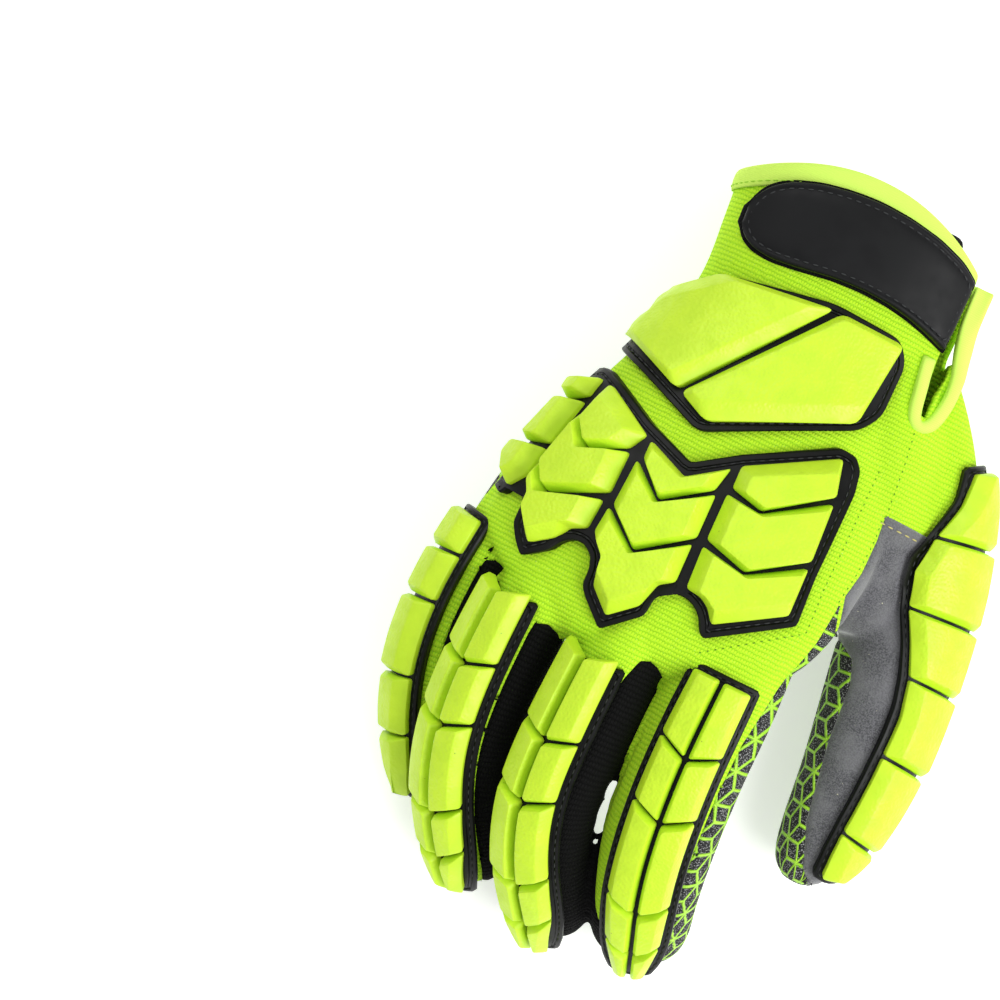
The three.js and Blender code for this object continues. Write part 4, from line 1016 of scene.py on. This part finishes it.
knucklePlate = [
    (55.8, -38.9), (38.4, -30.0), (23.9, -24.9), (12.1, -33.2), (-12.1, -47.2), (-17.0, -46.9),
    (-19.7, -43.9), (-21.0, -37.3),
    (-21.0, -11.8), (-22.1, 2.5), (-0.4, 17.0), (1.3, 15.8), (2.6, 13.0), (4.8, 10.6), (8.0, 9.1),
    (11.4, 9.1), (14.4, 10.6),
    (16.4, 13.4), (16.7, 18.6), (26.2, 27.6), (33.6, 21.1), (35.7, 18.6), (36.0, 13.6), (37.3, 10.2),
    (40.2, 8.2), (43.4, 8.4),
    (46.2, 10.4), (48.3, 14.1), (54.5, 19.2), (57.8, 15.6), (60.4, 11.6), (60.6, 6.1), (61.8, 2.2),
    (63.6, 1.2), (65.4, 2.8),
    (67.4, 6.4), (70.4, 4.0), (71.6, -5.0), (70.6, -14.0), (66.6, -27.0), (64.6, -33.5), (60.0, -37.6)]
plateOutline = rounded(knucklePlate, 1.2, 3)
piece = stacked("knuckle_plate_rubber", plateLevels(plateOutline), overPalm(2.5), 0, 3.0)
rimStitches("knuckle_plate", plateOutline, 2.1, overPalm(2.5))
dress(piece, "blackRubber", "black_rubber", "knuckle_plate")

knuckleSlope, knuckleLift = 3.6, 0.5  # height of the slopes, and of the tops over the other blocks'
# Knuckle blocks: corners in plan, and how wide the slope along each edge is
knuckleBlocks = [
    ([(10.9, -30.3), (-14.4, -44.6), (-17.2, -34.2), (0.4, -21.4), (10.6, -23.6)], [3, 2.6, 1.2, 1.2, 3.4]),
    ([(11.2, -21.6), (0.4, -20.6), (-17.4, -32.0), (-18.6, -15.2), (-2.8, -4.4), (10.7, -7.9)],
    [0.5, 0.5, 3, 1.2, 1.2, 3.6]),
    ([(10.8, -5.8), (-3.0, -3.6), (-18.7, -13.0), (-19.4, 0.9), (-0.9, 12.7), (2.0, 9.0), (5.0, 7.2),
    (9.8, 6.6)], [0.5, 0.5, 3, 4.6, 1.2, 1.2, 1.2, 3.4]),
    ([(37.0, -25.5), (24.2, -20.6), (13.2, -28.4), (14.8, -20.9), (27.8, -11.8), (36.8, -20.3)],
    [0.8, 0.8, 3, 1.2, 1.2, 3]),
    ([(38.2, -19.0), (27.7, -10.9), (13.9, -20.0), (13.4, -7.0), (27.9, 3.7), (38.6, -5.2)],
    [0.5, 0.5, 3.6, 1.2, 1.2, 3.6]),
    ([(39.4, -4.0), (27.7, 4.6), (13.7, -5.0), (13.2, 6.5), (17.3, 9.4), (19.3, 17.0), (26.6, 23.8),
    (33.5, 17.6), (34.6, 9.4), (40.0, 3.8)], [0.5, 0.5, 3.6, 1.2, 1.2, 4, 4, 1.2, 1.2, 3.6]),
    ([(54.6, -34.8), (39.0, -26.2), (41.9, -20.9), (52.0, -15.9), (57.4, -24.6)], [3, 3, 1.2, 1.2, 3]),
    ([(58.0, -24.4), (52.3, -15.1), (41.3, -20.0), (41.1, -7.6), (57.0, -0.2), (61.6, -8.9)],
    [0.5, 0.5, 3.2, 1.2, 1.2, 2.6]),
    ([(62.1, -8.2), (57.2, 0.8), (42.0, -5.0), (42.4, 4.0), (46.8, 6.2), (49.6, 10.6), (55.4, 15.2),
    (59.6, 9.4), (59.6, 2.6), (62.6, -2.9)], [0.5, 0.5, 3.2, 1, 1.2, 3, 3, 1.2, 1.2, 2.6]),
    ([(57.6, -35.4), (59.0, -29.0), (64.2, -25.9), (63.4, -32.4)], [1.2, 1.0, 1.2, 1.2]),
    ([(59.2, -27.2), (62.4, -12.6), (69.2, -10.6), (65.0, -24.8)], [1.6, 1.0, 1.6, 0.5]),
    ([(62.9, -10.8), (64.2, -2.4), (68.2, 3.4), (71.0, -4.2), (69.8, -9.2)], [1.6, 1.6, 1.6, 1.2, 0.5]),
]
for i, (corners, slopes) in enumerate(knuckleBlocks):
    corners = np.array(corners, float)
    levels = blockLevels(corners, np.array(slopes), blockTop - knuckleSlope, blockTop + knuckleLift)
    piece = stacked(f"knuckle_block_{i + 1}_rubber", levels, overPalm(blockTop - 2), 0.35, 2.4, True)
    dress(piece, "limeRubber", "lime_rubber", f"knuckle_block_{i + 1}")
print("knuckle guard made")

wristPlate = [(55.4, -45.3), (26.2, -33.4), (-14.5, -53.7), (-18.6, -60.0), (-18.3, -76.0), (-14.0, -81.6),
    (7.0, -82.4), (38.8, -76.3), (52.4, -64.0), (58.4, -51.0)]
piece = stacked("wrist_plate_rubber", plateLevels(rounded(wristPlate, 3.0, 5)), overPalm(2.5), 0, 3.0)
rimStitches("wrist_plate", rounded(wristPlate, 3.0, 5), 2.1, overPalm(2.5))
dress(piece, "blackRubber", "black_rubber", "wrist_plate")
wristBlocks = [
    ([(4.2, -80.6), (-15.4, -80.4), (-13.0, -55.0), (25.7, -36.9), (35.2, -41.2)], [1.4, 1.8, 5.2, 3.0, 1.5]),
    ([(57.6, -50.6), (52.4, -65.8), (39.6, -76.2), (6.8, -80.6), (37.0, -41.6)], [4.2, 4.2, 1.4, 3.6, 2.4]),
]
for i, (corners, slopes) in enumerate(wristBlocks):
    corners = np.array(corners, float)
    levels = blockLevels(corners, np.array(slopes), blockTop - 2.4, blockTop, 1.8)
    piece = stacked(f"wrist_block_{i + 1}_rubber", levels, overPalm(blockTop - 2), 0.45, 2.8, True)
    dress(piece, "limeRubber", "lime_rubber", f"wrist_block_{i + 1}")
print("wrist guard made")


# Finger guards: drawn flat as distance across and along, then bent over the limb
guards = {
    "index": {"from": 0.19, "to": 0.945, "wide": 20.5, "rows": [0, 0.26, 0.45, 0.72, 0.87, 1], "vee": 3.4,
    "start": 0.0, "pair": True},
    "middle": {"from": 0.24, "to": 0.955, "wide": 20.5, "rows": [0, 0.285, 0.465, 0.7, 0.855, 1],
    "vee": 3.2, "start": 3.2, "pair": True},
    "ring": {"from": 0.21, "to": 0.955, "wide": 20.5, "rows": [0, 0.262, 0.45, 0.705, 0.855, 1], "vee": 3.2,
    "start": 3.0, "pair": True},
    "pinky": {"from": 0.16, "to": 0.95, "wide": 15.0, "rows": [0, 0.18, 0.35, 0.6, 0.79, 1], "vee": 2.0,
    "start": 0.0, "pair": False},
    "thumb": {"from": 0.21, "to": 0.955, "wide": 20.0, "rows": [0, 0.16, 0.34, 0.5, 0.69, 0.88, 1],
    "vee": -2.6, "start": 0.0, "pair": False},
}
taper = {"along": [0, 0.12, 0.7, 0.9, 1], "wide": [0.48, 0.5, 0.5, 0.42, 0.26]}


def aroundLimb(limb, along, distance):
    # direction around the limb at a distance over its surface from its back
    angles = np.arange(0, 172, 4.0)
    ring = limbForm(limb, along[:, None], angles[None])
    steps = np.linalg.norm(np.diff(ring, axis=1), axis=2)
    travelled = np.concatenate([np.zeros((len(along), 1)), np.cumsum(steps, axis=1)], axis=1)
    found = np.array([np.interp(d, t, angles) for d, t in zip(np.abs(distance), travelled)])
    return np.sign(distance) * found


def overLimb(name):
    limb, guard = limbs[name], guards[name]
    span = (guard["to"] - guard["from"]) * limb["length"]

    def bend(flat):
        along = guard["from"] + flat[:, 1] / limb["length"]
        around = aroundLimb(limb, along, flat[:, 0])
        if name != "thumb":
            return limbForm(limb, along, around, flat[:, 2])
        base = limbForm(limb, along, around)
        return onSkin(base, limbForm(limb, along, around, 1.0) - base, flat[:, 2])
    return bend, span


# the thumb guard bulges towards the fingers over the lower joint
thumbTaper = {"along": [0, 0.05, 0.13, 0.22, 0.34, 0.46, 0.58, 0.72, 0.9, 1],
              "outer": [0.34, 0.42, 0.46, 0.5, 0.5, 0.5, 0.5, 0.5, 0.42, 0.26],
              "inner": [0.16, 0.22, 0.52, 0.8, 0.82, 0.62, 0.5, 0.5, 0.42, 0.26]}


def halfWide(name, share, side):
    share = np.clip(share, 0, 1)
    if name == "thumb":
        return float(sample(thumbTaper, "inner" if side > 0 else "outer", share)) * guards[name]["wide"]
    return float(sample(taper, "wide", share)) * guards[name]["wide"]


for name, guard in guards.items():
    bend, span = overLimb(name)
    shares = np.linspace(0, 1, 15)
    leftEdge = [(-halfWide(name, s, -1), s * span) for s in shares]
    rightEdge = [(halfWide(name, s, 1), s * span) for s in shares[::-1]]
    outline = leftEdge + [(0, span + 0.8)] + rightEdge + [(0, guard["start"])]
    outline = rounded(outline, 0.9, 2)
    piece = stacked(f"{name}_plate_rubber", plateLevels(outline, 1.6), bend, 0, 3.0)
    dress(piece, "blackRubber", "black_rubber", f"{name}_plate")
    rimStitches(f"{name}_plate", outline, 1.2, bend)
    count = len(guard["rows"]) - 1
    for i in range(count):
        a, b = guard["rows"][i] * span, guard["rows"][i + 1] * span
        a += 1.8 if i == 0 else 0.45
        b -= 1.6 if i == count - 1 else 0.45
        veeA = guard["vee"] if i else guard["start"]
        veeB = guard["vee"] if i < count - 1 else 0.6
        rise = blockTop - 3.0
        top = blockTop - 0.3 if i < count - 2 else blockTop - 0.9
        islands = []
        lift = 2.6
        for side in ((-1, 1) if guard["pair"] else (0,)):
            if side:
                inner = 0.55
                wa, wb = halfWide(name, a / span, side) - lift, halfWide(name, b / span, side) - lift
                corners = [(side * inner, a), (side * inner, b), (side * wb, b - veeB), (side * wa, a - veeA)]
                slopes = [0.7, 1.0, 2.2, 0.6] if i < count - 1 else [0.7, 3.0, 2.2, 0.6]
            else:
                outer = [halfWide(name, (a + (b - a) * t) / span, -1) - 2.0 for t in (0, 0.5, 1)]
                inner = [halfWide(name, (a + (b - a) * t) / span, 1) - 2.2 for t in (0, 0.5, 1)]
                corners = [(-outer[0], a - veeA), (-outer[1], (a + b - veeA - veeB) / 2),
                    (-outer[2], b - veeB),
                           (inner[2], b), (inner[1], (a + b) / 2), (inner[0], a)]
                slopes = [3.0, 3.0, 1.6, 3.0, 3.0, 0.8]
            corners = np.array(corners, float)
            levels = blockLevels(corners, np.array(slopes), rise, top, 0.7)
            islands.append(stacked(f"{name}_block_{i + 1}_rubber", levels, bend, 0.35, 2.4, True))
        if len(islands) == 2:
            both = bmesh.new()
            both.from_mesh(islands[0].data)
            both.from_mesh(islands[1].data)
            both.to_mesh(islands[0].data)
            both.free()
            islands[0].data.shade_smooth()
            islands[0].data.set_sharp_from_angle(angle=math.radians(28))
            bpy.data.objects.remove(islands[1])
        dress(islands[0], "limeRubber", "lime_rubber", f"{name}_block_{i + 1}")
print("finger guards made")


# Cuff: binding, piping of the slit, strap and pull tab
def gridPiece(name, upper, lower, closed=False, levels=1):
    # closed body between two grids of points
    upper, lower = np.asarray(upper), np.asarray(lower)
    rows, columns = upper.shape[:2]
    size = rows * columns
    faces = []
    last = columns if closed else columns - 1
    for i in range(rows - 1):
        for j in range(last):
            a, b = i * columns + j, i * columns + (j + 1) % columns
            faces.append((a, b, b + columns, a + columns))
            faces.append((size + a, size + a + columns, size + b + columns, size + b))
    for j in range(last):
        k = (j + 1) % columns
        top = (rows - 1) * columns
        faces.append((k, j, size + j, size + k))
        faces.append((top + j, top + k, size + top + k, size + top + j))
    if not closed:
        for i in range(rows - 1):
            a, b = i * columns, (i + 1) * columns
            faces.append((a, b, size + b, size + a))
            a, b = a + columns - 1, b + columns - 1
            faces.append((b, a, size + a, size + b))
    piece = newMesh(name, np.vstack([upper.reshape(-1, 3), lower.reshape(-1, 3)]), faces)
    if levels:
        divide = piece.modifiers.new("round", "SUBSURF")
        divide.levels = divide.render_levels = levels
        finished(piece)
    return piece


def storeCloth(piece, across, along):
    store = piece.data.attributes.get("cloth") or piece.data.attributes.new("cloth", "FLOAT_VECTOR", "POINT")
    store.data.foreach_set("vector", np.stack([across, along, 0 * across], 1).ravel())


def atPoints(piece):
    return np.array([v.co for v in piece.data.vertices]) * 1000 + middle


binding = {"width": 6.4, "thickness": 0.9, "wall": 1.6}
openHalf = slit["width"] / 2 + 1.2
probe = np.linspace(-88, 0, 400)
edgeX = palmForm(0.02, probe)[:, 0]
leftAngle = float(np.interp(slit["x"] - openHalf, edgeX, probe))
rightAngle = float(np.interp(slit["x"] + openHalf, edgeX, probe))
angles = np.linspace(rightAngle, leftAngle + 360, 110)
profile = [(binding["width"], 0.15), (binding["width"] * 0.9, binding["thickness"]),
    (binding["width"] * 0.5, binding["thickness"] + 0.25),
           (0.6, binding["thickness"]), (-0.5, 0.2), (-0.6, -0.8), (0.2, -binding["wall"] - 0.3),
           (binding["width"] * 0.6, -binding["wall"] - 0.5)]
shell = np.array([palmForm(along / length, angles, grow) for along, grow in profile])
core = palmForm(0.4 / length, angles, -binding["wall"] / 2)
lower = np.array([core + (row - core) * 0.35 for row in shell])


def lifted(rows):
    # points under the table plane moved up to it
    return np.where(rows[..., 2:3] < hand["tableGap"], [1, 1, 0] * rows + [0, 0, hand["tableGap"]], rows)


piece = gridPiece("cuff_binding_band", lifted(shell), lifted(lower), False, 1)
spots = atPoints(piece)
storeCloth(piece, np.hypot(spots[:, 0] - cuffCentre, spots[:, 2] - 22) * np.arctan2(spots[:,
    0] - cuffCentre, spots[:, 2] - 22), spots[:, 1])
dress(piece, "binding", "lime_binding", "cuff_binding")


def smoothLine(points, count):
    points = np.array(points, float)
    steps = np.concatenate([[0], np.cumsum(np.linalg.norm(np.diff(points, axis=0), axis=1))])
    at = np.linspace(0, steps[-1], count * 4)
    line = np.stack([np.interp(at, steps, points[:, k]) for k in (0, 1)], 1)
    for _ in range(6):
        line[1:-1] = (line[:-2] + 2 * line[1:-1] + line[2:]) / 4
    steps = np.concatenate([[0], np.cumsum(np.linalg.norm(np.diff(line, axis=0), axis=1))])
    at = np.linspace(0, steps[-1], count)
    return np.stack([np.interp(at, steps, line[:, k]) for k in (0, 1)], 1)


piping = {"width": 4.2, "height": 2.0}
pipingRoute = [(-23.4, -81.5), (-24.0, -76.5), (-24.9, -71.5), (-25.6, -67.0), (-26.6, -63.6),
    (-28.6, -61.9), (-30.8, -62.6),
               (-32.4, -65.2), (-33.4, -69.0), (-34.0, -74.0), (-33.6, -80.0), (-31.8, -87.0),
               (-30.0, -94.0), (-29.4, -101.0),
               (-29.2, -105.5)]


def clothUnder(spot):
    # point on the cloth straight below a place in plan, or beside the slit where there is none
    for nudge in (0, -1.5, 1.5, -3, 3, 5):
        hit = skinTree.ray_cast(Vector((spot[0] + nudge, spot[1], 200)), Vector((0, 0, -1)))
        if hit[0] is not None:
            return np.array([spot[0], spot[1], hit[0][2]])
    return np.array([spot[0], spot[1], 20.0])


route = smoothLine(pipingRoute, 34)
spots, widths = [], []
for i in range(len(route)):
    forward = route[min(i + 1, len(route) - 1)] - route[max(i - 1, 0)]
    forward /= np.linalg.norm(forward)
    wide = piping["width"] * (1 + 0.4 * np.clip((i - 18) / 6, 0, 1))
    spots.append([route[i] + t * wide / 2 * np.array([forward[1], -forward[0]]) for t in np.linspace(-1, 1,
        9)])
base = np.array([[clothUnder(spot) for spot in row] for row in spots])
for _ in range(14):
    level = base[:, :, 2].copy()
    base[1:-1, :, 2] = (level[:-2] + 2 * level[1:-1] + level[2:]) / 4
    base[:, 1:-1, 2] = (base[:, :-2, 2] + 2 * base[:, 1:-1, 2] + base[:, 2:, 2]) / 4
crown = piping["height"] * np.sqrt(np.maximum(1 - np.linspace(-1, 1, 9) ** 2, 0))[None]
over = 1.6 * np.clip((np.arange(len(route)) - 22) / 5, 0, 1)[:, None]
upper, lower = base.copy(), base.copy()
upper[:, :, 2] += 0.6 + crown + over
lower[:, :, 2] -= 1.2 - 0.4 * over
piece = gridPiece("slit_binding_piping", upper, lower)
spots = atPoints(piece)
storeCloth(piece, spots[:, 0], spots[:, 1])
dress(piece, "binding", "lime_binding", "slit_binding")

# inside of the cuff, seen through the slit: a sheet of very dark green knit, painted shade inside the lime
# knit cuff
paintedShadeLining = {"depth": 3.4, "thickness": 0.6}
probeRows = np.linspace(0.03, 0.42, 26)
upper = [palmForm(share, np.linspace(-86, -22, 22), -paintedShadeLining["depth"]) for share in probeRows]
lower = [palmForm(share, np.linspace(-86, -22, 22),
    -paintedShadeLining["depth"] - paintedShadeLining["thickness"]) for share in probeRows]
piece = gridPiece("slit_painted_shade_lining", upper, lower)
spots = atPoints(piece)
storeCloth(piece, spots[:, 0], spots[:, 1])
dress(piece, "paintedShadeLining", "lime_knit")

# strap: rubber face on a hook-and-loop strip, round at the little-finger side. Lines in plan from
# the round end to the slit, along the cuff side and the hand side
strap = {"bottom": 1.4, "thickness": 2.6, "edge": 0.8, "loops": 0.9}
strapCuffSide = [(41.6, -95.2), (41.0, -99.6), (38.6, -103.9), (33.4, -107.8), (25.4, -110.6),
    (17.0, -112.2), (8.1, -113.0),
                 (-1.3, -112.7), (-11.2, -111.4), (-20.6, -108.7), (-26.5, -105.4)]
strapHandSide = [(41.4, -92.6), (39.6, -88.6), (35.6, -86.3), (29.6, -85.6), (21.5, -86.6), (11.3, -88.4),
    (2.4, -89.1),
                 (-5.8, -88.9), (-13.7, -87.9), (-20.6, -86.4), (-27.0, -84.7)]


def strapGrid(grow, top, edge, bottom):
    cuffSide, handSide = smoothLine(strapCuffSide, 34), smoothLine(strapHandSide, 34)
    across = np.array([0, 0.015, 0.035, 0.062, 0.082, 0.102, 0.15, 0.3, 0.5, 0.7, 0.85, 0.898, 0.918, 0.938,
        0.965, 0.985, 1])
    flat = cuffSide[:, None] * (1 - across)[None, :, None] + handSide[:, None] * across[None, :, None]
    widths = np.linalg.norm(handSide - cuffSide, axis=1)[:, None]
    outwards = flat - flat.mean(axis=1, keepdims=True)
    outwards /= np.linalg.norm(outwards, axis=2, keepdims=True) + 1e-9
    border = np.minimum(across, 1 - across)[None] * widths
    flat = flat + outwards * grow * (border < 0.1)[..., None]
    flat[0, :, 0] += grow
    border[0] = 0
    rise = top - edge * (1 - np.clip(border / (1.3 * edge), 0, 1)) ** 2
    rise = rise - (0.4 if bottom > 1 else 0) * (np.abs(border - 2.0) < 0.55)
    along, around = spotsOnPalm(flat.reshape(-1, 2), top)
    shape = flat.shape[:2]
    along, around = along.reshape(shape), around.reshape(shape)
    return overCloth(along, around, rise), overCloth(along, around, np.full(shape, bottom)), flat


upper, lower, flat = strapGrid(0.0, strap["bottom"] + strap["thickness"], strap["edge"], strap["bottom"])
piece = gridPiece("wrist_strap_face", upper, lower)
dress(piece, "strapRubber", "black_strap", "wrist_strap")


def overStrap(flat):
    along, around = spotsOnPalm(flat[:, :2], strap["bottom"] + strap["thickness"])
    return overCloth(along, around, flat[:, 2])


border = np.vstack([smoothLine(strapCuffSide, 30), smoothLine(strapHandSide, 30)[::-1]])
rimStitches("wrist_strap", border, 2.0, overStrap, strap["bottom"] + strap["thickness"] - 0.25)
upper, lower, flat = strapGrid(strap["loops"], strap["bottom"], 0.3, 0.1)
piece = gridPiece("wrist_strap_loops", upper, lower)
spots = atPoints(piece)
storeCloth(piece, spots[:, 0], spots[:, 1])
dress(piece, "blackKnit", "black_strap")
bandAngles = np.linspace(rightAngle + 3, leftAngle + 357, 260)
stitches("cuff_binding_stitches", [palmForm(0.74 * binding["width"] / length, bandAngles,
    binding["thickness"] + 0.1)],
         "limeThread", 2.4, 1.7, 0.4)
stitches("suede_top_stitches", [underPlan(betweenSpots([(-31.6, -33.8), (-42.0, -33.8)]), 0.1)],
    "tanThread", 2.3, 1.8, 0.45)
seamLines = [
    [(-28.6, -60.0), (-30.2, -50), (-31.8, -36)], [(-31.2, -34), (-31.6, -28), (-31.0, -18), (-29.8, -9)],
    [(-24.5, -46), (-24.4, -10), (-25.2, 3), (-1.5, 20.5)]]
stitches("seam_stitches", [underPlan(betweenSpots(line), 0.08) for line in seamLines], "seamThread",
    2.1, 0.7, 0.34)
print("cuff made")

# Pull tab under the cuff: a plain panel with a slot near its free end
tab = {"x": -0.126 * width, "end": cuffY - 0.126 * width, "length": 50.0, "wide": 20.0, "narrow": 14.8,
    "thick": 2.0, "corner": 3.0,
       "slotWide": 8, "slotLong": 5, "slotFrom": 6.5, "slotDeep": 12}


def tabOutline(inset=0.0):
    w, n, l = tab["wide"] / 2 - inset, tab["narrow"] / 2 - inset, tab["length"] - inset
    points = [(-n, inset), (n, inset), (w, l), (-w, l)]
    return rounded(points, [tab["corner"], tab["corner"], 0.8, 0.8], 5) + (tab["x"], tab["end"])


def straight(flat):
    return flat


levels = [(tabOutline(0.2), 0.0), (tabOutline(), 0.3), (tabOutline(), tab["thick"] - 0.3),
    (tabOutline(0.3), tab["thick"])]
piece = stacked("pull_tab_body", levels, straight, 0, 0)
hole = bpy.data.meshes.new("hole")
cutter = bmesh.new()
bmesh.ops.create_cube(cutter, size=1)
for vert in cutter.verts:
    vert.co = (Vector((vert.co.x * tab["slotWide"], vert.co.y * tab["slotLong"] + tab["slotFrom"],
        vert.co.z * tab["slotDeep"])) + Vector((tab["x"], tab["end"], 0)) - Vector(middle)) / 1000
cutter.to_mesh(hole)
cutter.free()
hole = bpy.data.objects.new("hole", hole)
scene.collection.objects.link(hole)
cut = piece.modifiers.new("slot", "BOOLEAN")
cut.object, cut.operation, cut.solver = hole, "DIFFERENCE", "EXACT"
soft = piece.modifiers.new("soft", "BEVEL")
soft.width, soft.segments, soft.limit_method, soft.angle_limit = 0.00025, 2, "ANGLE", math.radians(50)
finished(piece)
bpy.data.objects.remove(hole)
piece.data.shade_smooth()
piece.data.set_sharp_from_angle(angle=math.radians(35))
dress(piece, "strapRubber", "black_strap", "pull_tab")

# Floor, light and view
floorHalf, floorLevel = 3000, -0.2
floorCorners = [(x * floorHalf, y * floorHalf, floorLevel) for x, y in ((-1, -1), (1, -1), (1, 1), (-1, 1))]
floor = newMesh("floor", floorCorners, [(0, 1, 2, 3)])
material, tree, surface = newMaterial("paper")
surface["Base Color"].default_value = (0.9, 0.9, 0.9, 1)
surface["Roughness"].default_value = 0.8
surface["Emission Color"].default_value = (1, 1, 1, 1)
surface["Emission Strength"].default_value = 0.5
floor.data.materials.append(material)
world = bpy.data.worlds.new("studio")
scene.world = world
world.use_nodes = True
world.node_tree.nodes["Background"].inputs["Color"].default_value = (1, 1, 1, 1)
world.node_tree.nodes["Background"].inputs["Strength"].default_value = 0.55
for name, place, size, power in (("key", (-0.9, 0.15, 0.95), 0.9, 15), ("fill", (0.7, -0.8, 1.2), 0.9, 6)):
    light = bpy.data.lights.new(name, "AREA")
    light.size, light.energy = size, power
    lamp = bpy.data.objects.new(name, light)
    lamp.location = place
    lamp.rotation_euler = (Vector((0, 0, 0.03)) - Vector(place)).to_track_quat("-Z", "Y").to_euler()
    scene.collection.objects.link(lamp)
scene.view_settings.view_transform = "Standard"
scene.render.film_transparent = False
